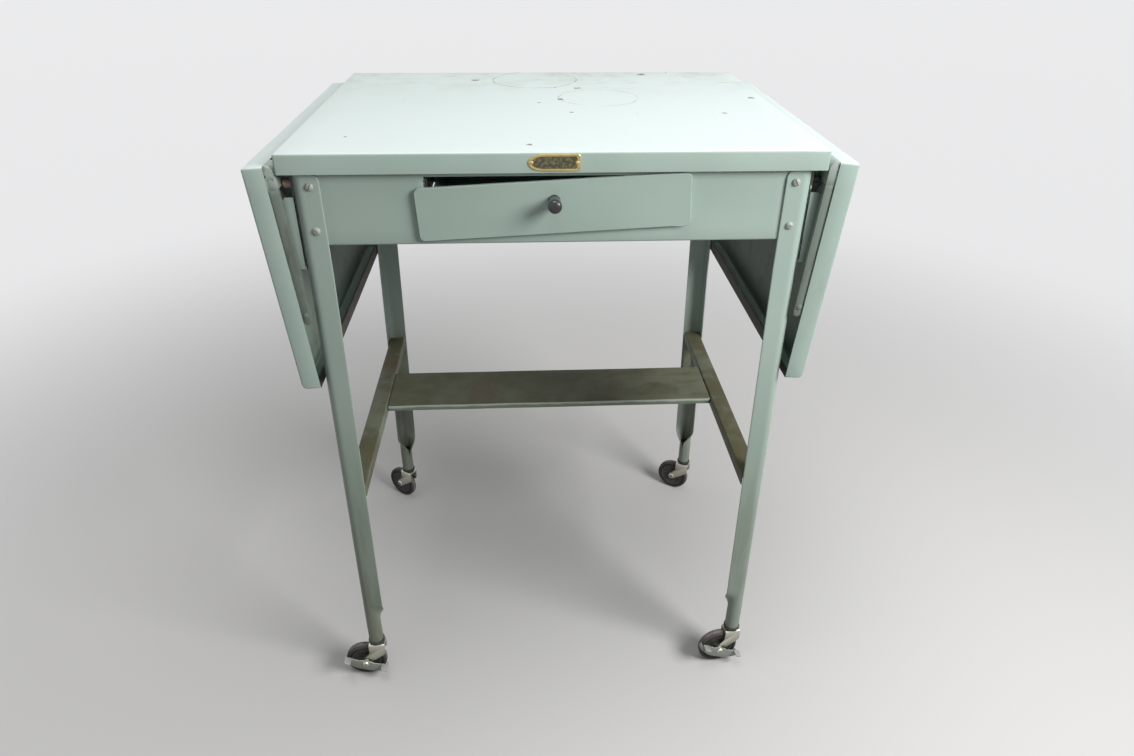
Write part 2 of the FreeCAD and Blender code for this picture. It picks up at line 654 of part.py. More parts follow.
def latch_bolt():
    """Right-hand bolt: it slides out under the raised leaf's cam."""
    bar = rod(BOLT_RADIUS, (BOLT_TAIL, BOLT_Y, BOLT_Z), (BOLT_NOSE, BOLT_Y, BOLT_Z))
    rim = [e for e in bar.Edges if e.BoundBox.XLength < 0.01 and e.BoundBox.XMax > BOLT_NOSE - 0.1]
    bar = bar.makeFillet(1.2, rim)
    collar = rod(BOLT_RADIUS + 2.3, (COLLAR[0], BOLT_Y, BOLT_Z), (COLLAR[1], BOLT_Y, BOLT_Z))
    finger = rod(2.4, (BOLT_TAIL + 3, BOLT_Y, BOLT_Z), (BOLT_TAIL + 3, BOLT_Y, BOLT_Z - 22))
    return fuse(bar, collar, finger)


def latch_guide():
    bottom = BOLT_Z - 8
    y0, y1 = BOLT_Y - GUIDE_HALF, BOLT_Y + GUIDE_HALF
    base = box(GUIDE_X[0], GUIDE_X[1], y0, y1, GUIDE_TOP - LEG_SHEET, GUIDE_TOP)
    walls = [box(x, x + 2.0, y0, y1, bottom, GUIDE_TOP) for x in (GUIDE_X[0], GUIDE_X[1] - 2.0)]
    bore = rod(BOLT_RADIUS + RUNNING_FIT, (GUIDE_X[0] - 1, BOLT_Y, BOLT_Z),
               (GUIDE_X[1] + 1, BOLT_Y, BOLT_Z))
    return cut(fuse(base, *walls), bore)


def latch_spring():
    """Coil between the guide's inner wall and the bolt's collar, drawn as it is compressed."""
    start = GUIDE_X[0] + 2.0 + SPRING_WIRE + 0.1
    length = COLLAR[0] - start - SPRING_WIRE - 0.4
    count = SPRING_TURNS * POINTS_IN_A_TURN
    points = []
    for k in range(count + 1):
        angle = 2 * math.pi * k / POINTS_IN_A_TURN
        points.append(V(start + length * k / count, BOLT_Y + SPRING_MEAN * math.cos(angle),
                        BOLT_Z + SPRING_MEAN * math.sin(angle)))
    path = Part.BSplineCurve()
    path.interpolate(points)
    section = Part.Wire(Part.makeCircle(SPRING_WIRE, points[0], path.tangent(path.FirstParameter)[0]))
    return Part.Wire(path.toShape()).makePipeShell([section], True, True)


# ---- drawer ----------------------------------------------------------------------------
def in_drawer(shape):
    """Turn a piece drawn level about the drawer's centre to the drawer's slant."""
    shape = shape.copy()
    shape.translate(V(DRAWER_X, 0, DRAWER_Z))
    shape.rotate(V(DRAWER_X, 0, DRAWER_Z), Y_AXIS, -DRAWER_TILT)
    return shape


KNOB_UP = 6.5
KNOB_SCREW = 2.0


def drawer_front():
    w, h = FRONT_WIDTH / 2, FRONT_HEIGHT / 2
    block = box(-w, w, FRONT_FACE, FRONT_BACK, -h, h)
    upright = [e for e in block.Edges if e.BoundBox.YLength > 1]
    block = block.makeFillet(5.0, upright)
    rim = [e for e in block.Edges if e.BoundBox.YMax < FRONT_FACE + 0.01]
    block = block.makeFillet(1.0, rim)
    hollow = box(-w + SHEET, w - SHEET, FRONT_FACE + SHEET, FRONT_BACK + 1, -h + SHEET, h - SHEET)
    upright = [e for e in hollow.Edges if e.BoundBox.YLength > 1]
    hollow = hollow.makeFillet(3.8, upright)
    return in_drawer(cut(block, hollow, knob_screw_hole()))


def drawer_tray():
    w, t = TRAY_WIDTH / 2, TRAY_SHEET
    front = FRONT_FACE + SHEET
    shell = box(-w, w, front, TRAY_REAR, TRAY_BOTTOM, TRAY_TOP).cut(
        box(-w + t, w - t, front + t, TRAY_REAR - t, TRAY_BOTTOM + t, TRAY_TOP + 1))
    ears = [box(side * w if side > 0 else -w - TRAY_EAR, w + TRAY_EAR if side > 0 else -w,
                FRONT_BACK + 0.8, TRAY_REAR, TRAY_TOP - t, TRAY_TOP) for side in (-1, 1)]
    return in_drawer(cut(fuse(shell, *ears), knob_screw_hole()))


def knob_screw_hole():
    return rod(KNOB_SCREW, (0, FRONT_FACE - 1, KNOB_UP), (0, FRONT_FACE + 6, KNOB_UP))


def drawer_knob():
    """A turned knob: a slight neck, nearly straight sides and a rounded end."""
    outline = [(0, 0), (5.5, 0), (5.2, 2.5), (5.3, 6.0), (5.8, 11.0), (6.2, 16.0), (5.8, 19.0),
               (3.6, KNOB_LENGTH - 0.3), (0, KNOB_LENGTH)]
    curve = Part.BSplineCurve()
    curve.interpolate([V(r, -y, 0) for r, y in outline[1:-1]])
    edges = [Part.LineSegment(V(0, 0, 0), V(outline[1][0], 0, 0)).toShape(), curve.toShape(),
             Part.LineSegment(V(outline[-2][0], -outline[-2][1], 0),
                              V(0, -outline[-1][1], 0)).toShape(),
             Part.LineSegment(V(0, -outline[-1][1], 0), V(0, 0, 0)).toShape()]
    body = Part.Face(Part.Wire(edges)).revolve(V(0, 0, 0), Y_AXIS, 360)
    body.translate(V(0, FRONT_FACE, KNOB_UP))
    thread = rod(KNOB_SCREW, (0, FRONT_FACE + 1, KNOB_UP), (0, FRONT_FACE - 11, KNOB_UP))
    return in_drawer(body.cut(thread))


def knob_screw():
    back = FRONT_FACE + SHEET + TRAY_SHEET
    return in_drawer(fuse(rod(KNOB_SCREW, (0, FRONT_FACE - 11, KNOB_UP), (0, back, KNOB_UP)),
                          rod(4.0, (0, back, KNOB_UP), (0, back + 2.0, KNOB_UP))))


def drawer_runner(side):
    """A channel that hangs from the top and takes the tray's ear."""
    gap = 0.3
    web_in = TRAY_WIDTH / 2 + TRAY_EAR + 0.4
    web_out = web_in + SHEET
    lip_in = TRAY_WIDTH / 2 + 2.0
    front = APRON_FRONT_FACE + SHEET + 0.4
    low = TRAY_TOP - TRAY_SHEET - gap
    high = TRAY_TOP + gap
    shape = fuse(box(web_in, web_out, front, RUNNER_REAR, low - SHEET, 60),
                 box(lip_in, web_out, front, RUNNER_REAR, low - SHEET, low),
                 box(lip_in, web_out, front, RUNNER_REAR, high, high + SHEET))
    if side < 0:
        shape = mirror_x(shape)
    shape = in_drawer(shape)
    above = box(-300, 300, -300, 300, UNDERSIDE, UNDERSIDE + 60)
    below_flange = box(-300, 300, -300, APRON_FRONT_FACE + APRON_FLANGE + 0.3,
                       UNDERSIDE - SHEET - 0.3, UNDERSIDE + 60)
    shape = cut(shape, above, below_flange)
    lean = math.radians(DRAWER_TILT)
    rise = (UNDERSIDE - DRAWER_Z) * math.tan(lean)
    web_x = DRAWER_X + side * (web_in + 0.6) / math.cos(lean) - rise
    flange = sorted((web_x, web_x + side * 14))
    hanger = box(flange[0], flange[1], APRON_FRONT_FACE + APRON_FLANGE + 1, RUNNER_REAR,
                 UNDERSIDE - SHEET, UNDERSIDE)
    return fuse(shape, hanger)


# ---- casters, drawn at the origin trailing towards -X, brake side towards -Y --------------
def place_caster(shape, where, side):
    shape = shape.copy()
    shape.rotate(V(0, 0, 0), Z_AXIS, -CASTER_YAW[corner_name(where, side)])
    x, y = stem_place(where, side)
    shape.translate(V(x, y, 0))
    return shape


def caster_socket():
    collar = rod(COLLAR_RADIUS, (0, 0, CROWN_TOP + RACE_HEIGHT + 0.5), (0, 0, TUBE_BOTTOM))
    rim = [e for e in collar.Edges if e.BoundBox.ZLength < 0.01]
    collar = collar.makeFillet(0.8, rim)
    sleeve = rod(TUBE_RADIUS - LEG_SHEET, (0, 0, TUBE_BOTTOM - 1), (0, 0, TUBE_BOTTOM + SOCKET_LENGTH))
    bore = rod(STEM_RADIUS + RUNNING_FIT, (0, 0, 0), (0, 0, 200))
    return fuse(collar, sleeve).cut(bore)


def caster_fork():
    """A strip bent into a crown and two cheeks that narrow to the axle."""
    under = CROWN_TOP - CROWN_DEPTH
    crown = box(-CROWN_HALF, CROWN_HALF, -FORK_OUTER, FORK_OUTER, under, CROWN_TOP)
    bends = [e for e in crown.Edges if e.BoundBox.XLength > 1 and e.BoundBox.ZMax > CROWN_TOP - 0.1]
    crown = crown.makeFillet(2.2, bends)
    outline = [(-CROWN_HALF, under + 1), (-CROWN_HALF, 40.5), (-TRAIL - 3.6, 29.5),
               (-TRAIL - 4.8, 27.4), (-TRAIL - 4.8, 23.2), (-TRAIL - 2.4, 20.6),
               (-TRAIL + 1.0, 20.4), (8.8, 38.4), (CROWN_HALF, 42.0), (CROWN_HALF, under + 1)]
    cheeks = [plate_xz(outline, y0, y0 + FORK_OUTER - FORK_INNER)
              for y0 in (FORK_INNER, -FORK_OUTER)]
    axle_hole = rod(AXLE_RADIUS, (-TRAIL, -10, WHEEL_RADIUS), (-TRAIL, 10, WHEEL_RADIUS))
    stem_hole = rod(STEM_RADIUS, (0, 0, CROWN_TOP - 8), (0, 0, CROWN_TOP + 1))
    return cut(fuse(crown, *cheeks), axle_hole, stem_hole)


def caster_fixings(braked):
    """Stem and axle rivet; where there is a brake the axle's end runs on to carry the rocker."""
    under = CROWN_TOP - CROWN_DEPTH
    stem = fuse(rod(STEM_RADIUS, (0, 0, under), (0, 0, TUBE_BOTTOM + SOCKET_LENGTH - 4)),
                rod(RACE_RADIUS, (0, 0, CROWN_TOP), (0, 0, CROWN_TOP + RACE_HEIGHT)),
                rod(STEM_RADIUS + 0.9, (0, 0, under - 0.8), (0, 0, under)))
    axle = [rod(AXLE_RADIUS, (-TRAIL, -FORK_OUTER, WHEEL_RADIUS), (-TRAIL, FORK_OUTER, WHEEL_RADIUS))]
    axle += [rod(AXLE_RADIUS + 1.6, (-TRAIL, side * FORK_OUTER, WHEEL_RADIUS),
                 (-TRAIL, side * (FORK_OUTER + 1.5), WHEEL_RADIUS)) for side in (-1, 1)]
    if braked:
        neck = -(ROCKER_FACE + ROCKER_SHEET + 0.3)
        axle += [rod(AXLE_END_RADIUS, (-TRAIL, -FORK_OUTER, WHEEL_RADIUS), (-TRAIL, neck, WHEEL_RADIUS)),
                 rod(AXLE_END_RADIUS + 2.0, (-TRAIL, neck, WHEEL_RADIUS),
                     (-TRAIL, neck - 1.8, WHEEL_RADIUS))]
    return [stem, fuse(*axle)]


def wheel_tyre():
    tyre = rod(WHEEL_RADIUS, (-TRAIL, -WHEEL_HALF, WHEEL_RADIUS), (-TRAIL, WHEEL_HALF, WHEEL_RADIUS))
    rims = [e for e in tyre.Edges if e.BoundBox.YLength < 0.01]
    tyre = tyre.makeFillet(2.2, rims)
    return tyre.cut(rod(HUB_RADIUS, (-TRAIL, -9, WHEEL_RADIUS), (-TRAIL, 9, WHEEL_RADIUS)))


def wheel_hub():
    disc = rod(HUB_RADIUS, (-TRAIL, -3.8, WHEEL_RADIUS), (-TRAIL, 3.8, WHEEL_RADIUS))
    boss = rod(6.0, (-TRAIL, -5.6, WHEEL_RADIUS), (-TRAIL, 5.6, WHEEL_RADIUS))
    bore = rod(AXLE_RADIUS + RUNNING_FIT, (-TRAIL, -9, WHEEL_RADIUS), (-TRAIL, 9, WHEEL_RADIUS))
    return fuse(disc, boss).cut(bore)


def brake_rocker(tilt):
    """Foot-worked rocker: a pad to press at each end, and a shoe beside the tread under each."""
    outer, inner = -ROCKER_FACE - ROCKER_SHEET, -ROCKER_FACE
    end = ROCKER_HALF
    pieces = [plate_xz([(-end, -2.5), (-19, -7.5), (-8, -10.5), (8, -10.5), (19, -7.5), (end, -2.5),
                        (end, 5.0), (10, 3.2), (5.5, 4.8), (-5.5, 4.8), (-10, 3.2), (-end, 5.0)],
                       outer, inner)]
    for side in (-1, 1):
        a, b = sorted((side * end, side * (end - 8.5)))
        pad = box(a, b, outer - 9.0, inner, 3.5, 5.0)
        corners = [e for e in pad.Edges if e.BoundBox.ZLength > 1 and e.BoundBox.YMax < outer - 8]
        pieces.append(pad.makeFillet(2.0, corners))
        a, b = sorted((side * end, side * (end - 1.4)))
        pieces.append(box(a, b, outer, -2.5, -3.5, 1.0))
    shape = fuse(*pieces).cut(rod(AXLE_END_RADIUS + RUNNING_FIT, (0, -20, 0), (0, 0, 0)))
    shape.rotate(V(0, 0, 0), Y_AXIS, tilt)
    shape.translate(V(-TRAIL, 0, WHEEL_RADIUS))
    return shape


# ---- write every node ------------------------------------------------------------------
os.makedirs("parts", exist_ok=True)

add("table_top", table_top())
add("badge_plate", badge_plate())
add("badge_pins", *badge_pins(True))
add("apron_front", apron_front())
add("apron_rear", apron_rear())
add("apron_right", apron_side())
add("apron_left", mirror_x(apron_side()))
for where, side in CORNERS:
    add("leg_" + corner_name(where, side), finished_leg(where, side))
add("leg_screws", *leg_screws())
add("leg_nuts", *leg_nuts())
add("stretcher_right", stretcher())
add("stretcher_left", mirror_x(stretcher()))
add("stretcher_rivets", *both_sides(stretcher_rivets(True)))
add("shelf", shelf())
add("shelf_rivets", *both_sides(shelf_rivets(True)))

front_bracket = hinge_bracket()
rear_bracket = mirror_y(front_bracket)
add("hinge_brackets", *both_sides([front_bracket, rear_bracket]))
add("bracket_rivets", *both_sides(bracket_rivets(True)))
add("latch_guides", *both_sides([latch_guide()]))
add("latch_springs", *both_sides([latch_spring()]))
right_leaf = {
    "leaf": [hang(leaf())],
    "leaf_arms": [hang(arm()), hang(mirror_y(arm()))],
    "hinge_pins": [hang(hinge_pin()), hang(mirror_y(hinge_pin()))],
    "arm_rivets": [hang(r) for r in arm_rivets(True)],
    "latch_bolt": [latch_bolt()],
}
for node, pieces in right_leaf.items():
    add(node + "_right", *pieces)
    add(node + "_left", *[mirror_x(piece) for piece in pieces])

add("drawer_front", drawer_front())
add("drawer_tray", drawer_tray())
add("drawer_knob", drawer_knob())
add("knob_screw", knob_screw())
add("drawer_runner_left", drawer_runner(-1))
add("drawer_runner_right", drawer_runner(1))

sockets = []
for where, side in CORNERS:
    name = corner_name(where, side)
    socket = caster_socket()
    socket.translate(V(*stem_place(where, side), 0))
    sockets.append(socket)
    braked = where == "front"
    add("caster_fork_" + name, place_caster(caster_fork(), where, side))
    add("caster_fixings_" + name,
           *[place_caster(piece, where, side) for piece in caster_fixings(braked)])
    add("wheel_tyre_" + name, place_caster(wheel_tyre(), where, side))
    add("wheel_hub_" + name, place_caster(wheel_hub(), where, side))
    if braked:
        add("brake_rocker_" + name, place_caster(brake_rocker(ROCKER_TILT[name]), where, side))
add("caster_sockets", *sockets)
export_all()
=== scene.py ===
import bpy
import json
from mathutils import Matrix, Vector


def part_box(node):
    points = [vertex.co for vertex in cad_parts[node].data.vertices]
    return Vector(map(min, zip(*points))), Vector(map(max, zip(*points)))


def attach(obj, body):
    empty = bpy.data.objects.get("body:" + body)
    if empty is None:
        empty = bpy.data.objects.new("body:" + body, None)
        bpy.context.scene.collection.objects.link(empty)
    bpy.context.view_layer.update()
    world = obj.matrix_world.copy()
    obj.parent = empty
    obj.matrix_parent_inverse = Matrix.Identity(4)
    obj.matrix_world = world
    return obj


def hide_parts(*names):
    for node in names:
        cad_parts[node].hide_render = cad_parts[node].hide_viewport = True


bl_info = {
    "name": "Typewriter table",
    "version": (1, 0, 0),
    "blender": (4, 5, 0),
    "location": "View3D > Sidebar > Typewriter table",
    "description": "Dresses the frame of a drop-leaf typewriter table and sets it on a plain floor",
    "category": "Object",
}

import json
import math

import bmesh
import bpy
from mathutils import Matrix, Vector, noise

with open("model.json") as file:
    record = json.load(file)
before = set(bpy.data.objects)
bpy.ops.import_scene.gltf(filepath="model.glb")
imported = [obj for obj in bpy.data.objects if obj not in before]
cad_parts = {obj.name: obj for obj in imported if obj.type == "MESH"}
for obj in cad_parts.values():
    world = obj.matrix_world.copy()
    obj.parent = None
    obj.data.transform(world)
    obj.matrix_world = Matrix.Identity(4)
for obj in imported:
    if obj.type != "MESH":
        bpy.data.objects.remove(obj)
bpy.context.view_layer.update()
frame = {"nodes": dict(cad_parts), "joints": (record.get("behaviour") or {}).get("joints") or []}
JOINTS = {joint["name"]: joint for joint in frame["joints"]}

# Lengths are in millimetres, in the frame's own coordinates, until a piece is finished.
MM = 0.001
X = Vector((1, 0, 0))
Y = Vector((0, 1, 0))
Z = Vector((0, 0, 1))
SHARP = math.radians(32)
NEAR = 0.1                                  # this close to a plane counts as on it
CORNERS = ("front_left", "front_right", "rear_left", "rear_right")


# ---- Places taken from the frame ----

class Extent:
    """The box of a CAD node, in millimetres."""

    def __init__(self, node):
        low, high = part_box(node)
        self.low, self.high = low / MM, high / MM
        self.x0, self.y0, self.z0 = self.low
        self.x1, self.y1, self.z1 = self.high
        self.middle = (self.low + self.high) / 2


TOP = Extent("table_top")
MIDDLE = Vector((TOP.middle.x, TOP.middle.y, 0))     # the table's own middle, on the floor
MID_X, MID_Y = MIDDLE.x * MM, MIDDLE.y * MM


def at(x, y, z):
    """A point given from the table's middle."""
    return MIDDLE + Vector((x, y, z))


def joint_place(name):
    return Vector(JOINTS[name]["pos_m"]) / MM


PIVOT = joint_place("leaf_right_hinge") - MIDDLE
SHEET = 1.2
LEG_SHEET = 1.5


# ---- Mesh helpers ----

def block(low, high):
    """A box mesh between two corners."""
    bm = bmesh.new()
    low, high = Vector(low), Vector(high)
    bmesh.ops.create_cube(bm, size=1.0)
    bmesh.ops.scale(bm, vec=high - low, verts=bm.verts)
    bmesh.ops.translate(bm, vec=(low + high) / 2, verts=bm.verts)
    return bm


def open_faces(bm, *directions):
    """Takes away the faces that look along the given directions."""
    gone = [f for f in bm.faces if any(f.normal.dot(Vector(d)) > 0.9 for d in directions)]
    bmesh.ops.delete(bm, geom=gone, context="FACES")
    return bm


def slice_planes(bm, axis, places):
    """Adds an edge loop in the plane across axis at each place."""
    for place in places:
        point = Vector(axis) * place
        geom = list(bm.verts) + list(bm.edges) + list(bm.faces)
        bmesh.ops.bisect_plane(bm, geom=geom, dist=1e-4, plane_co=point, plane_no=axis)
    return bm


def steps(low, high, pitch):
    """Evenly spaced places between low and high, about pitch apart."""
    count = max(1, round((high - low) / pitch))
    return [low + (high - low) * k / count for k in range(1, count)]


def folds(bm, angle=60):
    """The edges where two faces meet at more than the angle."""
    limit = math.radians(angle)
    return [e for e in bm.edges if len(e.link_faces) == 2 and e.calc_face_angle(0) > limit]


def bevel(bm, edges, radius, segments):
    bmesh.ops.bevel(bm, geom=list(edges), offset=radius, offset_type="OFFSET", affect="EDGES",
                    segments=segments, profile=0.5, material=-1, clamp_overlap=True)
    return bm


def rims(bm):
    return [e for e in bm.edges if e.is_boundary]


def within(edges, test):
    """The edges whose two ends both pass a test of their places."""
    return [e for e in edges if all(test(v.co) for v in e.verts)]


def running(edges, axis):
    """The edges that run along an axis for more than a millimetre."""
    return [e for e in edges if abs((e.verts[0].co - e.verts[1].co).dot(axis)) > 1]


def foremost(bm):
    """The face that lies furthest to the front."""
    return min(bm.faces, key=lambda f: f.calc_center_median().y)


def turn_rim(bm, edges, shift=None, scale=None, centre=None):
    """Extrudes open edges and moves the new ones: a hem, a lip or a flange."""
    made = bmesh.ops.extrude_edge_only(bm, edges=edges)["geom"]
    if scale:
        space = Matrix.Translation(-Vector(centre))
        bmesh.ops.scale(bm, vec=scale, space=space, verts=fresh_verts(made))
    if shift:
        bmesh.ops.translate(bm, vec=shift, verts=fresh_verts(made))
    return [g for g in made if isinstance(g, bmesh.types.BMEdge) and g.is_boundary]


def turn(bm, angle, centre, axis):
    bmesh.ops.rotate(bm, cent=centre, matrix=Matrix.Rotation(math.radians(angle), 3, Vector(axis)),
                     verts=bm.verts)
    return bm


def move(bm, shift):
    bmesh.ops.translate(bm, vec=shift, verts=bm.verts)
    return bm


def reflected(bm, axis, centre):
    """A copy mirrored across a plane, faces still outwards."""
    copy = bm.copy()
    for vert in copy.verts:
        vert.co[axis] = 2 * centre - vert.co[axis]
    bmesh.ops.reverse_faces(copy, faces=copy.faces)
    return copy


def mirrored(bm):
    """A copy on the other side of the table's middle plane."""
    return reflected(bm, 0, MIDDLE.x)


def flipped(bm):
    """A copy mirrored from front to back about y = 0."""
    return reflected(bm, 1, 0.0)


def both_ends(bm):
    """A front piece and its copy at the back."""
    return merged(flipped(bm), bm)


def fresh_verts(made):
    """The vertices among the elements that an extrusion has made."""
    return [g for g in made if isinstance(g, bmesh.types.BMVert)]


def extruded(bm, faces):
    """Extrudes faces and returns the new vertices, still where the old ones are."""
    return fresh_verts(bmesh.ops.extrude_face_region(bm, geom=faces)["geom"])


def to_data(bm, name):
    """The mesh as Blender data; the bmesh is let go."""
    mesh = bpy.data.meshes.new(name)
    bm.to_mesh(mesh)
    bm.free()
    return mesh


def in_scene(name, data):
    """A new object in the scene that holds data."""
    made = bpy.data.objects.new(name, data)
    bpy.context.scene.collection.objects.link(made)
    return made


def merged(*meshes):
    """One mesh that holds all the given ones."""
    whole = bmesh.new()
    for bm in meshes:
        keep = to_data(bm, "part")
        whole.from_mesh(keep)
        bpy.data.meshes.remove(keep)
    return whole


def lathe(profile, segments):
    """Spins a profile of (radius, height) points about Z; points on the axis close the shape."""
    bm = bmesh.new()
    verts = [bm.verts.new((r, 0, h)) for r, h in profile]
    edges = [bm.edges.new(pair) for pair in zip(verts, verts[1:])]
    bmesh.ops.spin(bm, geom=verts + edges, cent=(0, 0, 0), axis=Z, dvec=(0, 0, 0),
                   angle=math.tau, steps=segments, use_merge=True, use_duplicate=False)
    bmesh.ops.remove_doubles(bm, verts=bm.verts, dist=1e-4)
    bmesh.ops.recalc_face_normals(bm, faces=bm.faces)
    return bm


def stand(bm, place, along):
    """Turns a lathed piece so that its height runs along a direction, and puts it in place."""
    turned = Z.rotation_difference(Vector(along)).to_matrix()
    bmesh.ops.rotate(bm, cent=(0, 0, 0), matrix=turned, verts=bm.verts)
    return move(bm, place)


def dome(radius, height, stem=0.0):
    """Profile of a low rounded head on a short straight side, with a stem below its base."""
    steps_up, straight = 6, 0.2
    points = [(0, height)]
    for k in range(1, steps_up + 1):
        a = k / steps_up * math.pi / 2
        points.append((radius * math.sin(a), height * (straight + (1 - straight) * math.cos(a))))
    points += [(radius, 0)]
    if stem:
        points += [(radius * 0.5, 0), (radius * 0.5, -stem)]
    return points + [(0, -stem)]


def wave(point, pitch, seed):
    """A smooth wandering value of about -1 to 1."""
    return noise.noise(Vector(point) / pitch + Vector((seed, seed * 1.7, seed * 0.3)))


def buckle(bm, depth, pitch, seed, pick=None):
    """Presses a sheet inwards by a wandering amount along its normals, never outwards."""
    bm.normal_update()
    moves = []
    for vert in bm.verts:
        if pick is None or pick(vert):
            amount = depth * (0.5 + 0.5 * wave(vert.co, pitch, seed))
            moves.append((vert, vert.normal * -amount))
    for vert, shift in moves:
        vert.co += shift
    return bm


def finish_piece(bm, name, body, material, nodes=(), sheet=0.0, rim=0.0):
    """Turns a mesh in millimetres into a finished object that rides on its body."""
    bmesh.ops.scale(bm, vec=(MM, MM, MM), verts=bm.verts)
    mesh = to_data(bm, name)
    mesh.materials.append(material)
    mesh.shade_smooth()
    mesh.set_sharp_from_angle(angle=SHARP)
    piece = in_scene(name, mesh)
    if sheet:
        wall = piece.modifiers.new("wall", "SOLIDIFY")
        wall.thickness = sheet * MM
        wall.offset = -1.0
        wall.use_even_offset = True
    if rim:
        edge = piece.modifiers.new("rim", "BEVEL")
        edge.width = rim * MM
        edge.segments = 2
        edge.limit_method = "ANGLE"
        edge.angle_limit = math.radians(50)
        edge.use_clamp_overlap = True
    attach(piece, body)
    if nodes:
        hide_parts(*nodes)
    return piece


# ---- Shader maths ----

class Wire:
    """A socket's value in a shader; arithmetic on it adds Math nodes."""

    def __init__(self, finish, socket):
        self.finish, self.socket = finish, socket

    def math(self, operation, *others, clamp=False):
        values = {0: self}
        values.update(enumerate(others, start=1))
        return self.finish.node("Math", {"operation": operation, "use_clamp": clamp}, values)

    def __add__(self, other):
        return self.math("ADD", other)

    def __sub__(self, other):
        return self.math("SUBTRACT", other)

    def __mul__(self, other):
        return self.math("MULTIPLY", other)

    def __pow__(self, other):
        return self.math("POWER", other)

    def __rsub__(self, other):
        return self.finish.node("Math", {"operation": "SUBTRACT"}, {0: other, 1: self})

    __radd__ = __add__
    __rmul__ = __mul__

    def clip(self):
        return self.math("ADD", 0.0, clamp=True)

    def above(self, low, high):
        """0 below low, 1 above high, and smooth between them."""
        settings = {"interpolation_type": "SMOOTHSTEP", "clamp": True}
        return self.finish.node("MapRange", settings, {0: self, 1: low, 2: high, 3: 0.0, 4: 1.0})

    def most(self, other):
        return self.math("MAXIMUM", other)


class Nodes:
    """A node tree while it is being put together."""

    def __init__(self, tree):
        self.tree = tree

    def node(self, kind, settings=None, sockets=None, out=0):
        """Adds a node: settings first, then values or links for its sockets."""
        made = self.tree.nodes.new("ShaderNode" + kind)
        for key, value in (settings or {}).items():
            setattr(made, key, value)
        for key, value in (sockets or {}).items():
            self.feed(made.inputs[key], value)
        return Wire(self, made.outputs[out])

    def feed(self, socket, value):
        if isinstance(value, Wire):
            self.tree.links.new(value.socket, socket)
        elif socket.type == "RGBA":
            socket.default_value = (*value[:3], 1.0)
        else:
            socket.default_value = value

    def seen(self):
        """1 for what the camera or a reflection sees, 0 for what lights the table."""
        return self.node("LightPath", out=0).most(self.node("LightPath", out=3))


class Finish(Nodes):
    """One material while it is being put together."""

    def __init__(self, name, **constants):
        self.material = bpy.data.materials.new(name)
        self.material.use_nodes = True
        super().__init__(self.material.node_tree)
        self.shader = self.tree.nodes["Principled BSDF"]
        for key, value in constants.items():
            self.shader.inputs[key.replace("_", " ")].default_value = value

    def place(self, scale=(1, 1, 1)):
        """Object coordinates in metres, stretched by scale."""
        where = self.node("TexCoord", out=3)
        if tuple(scale) == (1, 1, 1):
            return where
        return self.node("Mapping", {}, {"Vector": where, "Scale": scale})

    def noise(self, pitch, detail=4.0, rough=0.55, stretch=(1, 1, 1)):
        """Noise whose lumps are about pitch metres across."""
        sockets = {"Vector": self.place(stretch), "Scale": 1.0 / pitch, "Detail": detail,
                   "Roughness": rough}
        return self.node("TexNoise", {}, sockets)

    def specks(self, pitch, reach):
        """Rounded specks, one in each cell of pitch metres; reach is a share of the cell."""
        sockets = {"Vector": self.place(), "Scale": 1.0 / pitch}
        return 1 - self.node("TexVoronoi", {}, sockets).above(reach * 0.5, reach)

    def axis(self, index):
        """One coordinate in metres."""
        return self.node("SeparateXYZ", {}, {0: self.place()}, out=index)

    def worn_edge(self, low, high):
        """Where the mesh turns outwards sharply, as on folds and rims."""
        return self.node("NewGeometry", out=7).above(low, high)

    def facing(self, index):
        """How far the surface looks along an axis."""
        normal = self.node("TexCoord", out=1)
        return self.node("SeparateXYZ", {}, {0: normal}, out=index)

    def blend(self, first, second, factor):
        """Colours mixed from first to second by factor."""
        settings = {"data_type": "RGBA", "clamp_factor": True}
        return self.node("Mix", settings, {0: factor, 6: first, 7: second}, out=2)

    def mottled(self, first, second, pitch, low, high, share=1.0):
        """Two colours mixed by a fine noise, and the noise itself."""
        haze = self.noise(pitch, 4.0, 0.6)
        return self.blend(first, second, haze.above(low, high) * share), haze

    def reach(self, centre=(0, 0)):
        """Distance from an upright line through centre, in metres."""
        across = self.axis(0) - centre[0]
        deep = self.axis(1) - centre[1]
        return (across * across + deep * deep) ** 0.5

    def ring(self, centre, radius, width):
        """A thin circle lying on the top, centre in metres."""
        wobble = (self.noise(0.03, 2.0) - 0.5) * 0.006
        off = (self.reach(centre) + wobble - radius).math("ABSOLUTE")
        return 1 - off.above(width * 0.4, width)

    def spot(self, centre, radius):
        """A ragged round mark, centre in metres."""
        ragged = (self.noise(0.006, 3.0) - 0.5) * radius * 2.2
        return 1 - (self.reach(centre) + ragged).above(radius * 0.6, radius)

    def close(self, colour, roughness=None, metallic=None, height=None, depth=0.0002):
        """Connects the results to the shader and returns the material."""
        links = {"Base Color": colour, "Roughness": roughness, "Metallic": metallic}
        for key, value in links.items():
            if value is not None:
                self.feed(self.shader.inputs[key], value)
        if height is not None:
            sockets = {"Height": height, "Distance": depth, "Strength": 1.0}
            self.feed(self.shader.inputs["Normal"], self.node("Bump", {}, sockets))
        return self.material


# ---- What a user would change ----

def colour_prop(name, description, default):
    return bpy.props.FloatVectorProperty(name=name, description=description, default=default,
                                         subtype="COLOR", size=3, min=0.0, max=1.0)


def length_prop(name, description, default):
    """A length kept in metres, given here in millimetres."""
    return bpy.props.FloatProperty(name=name, description=description, default=default * MM,
                                   subtype="DISTANCE", unit="LENGTH", min=0.0)


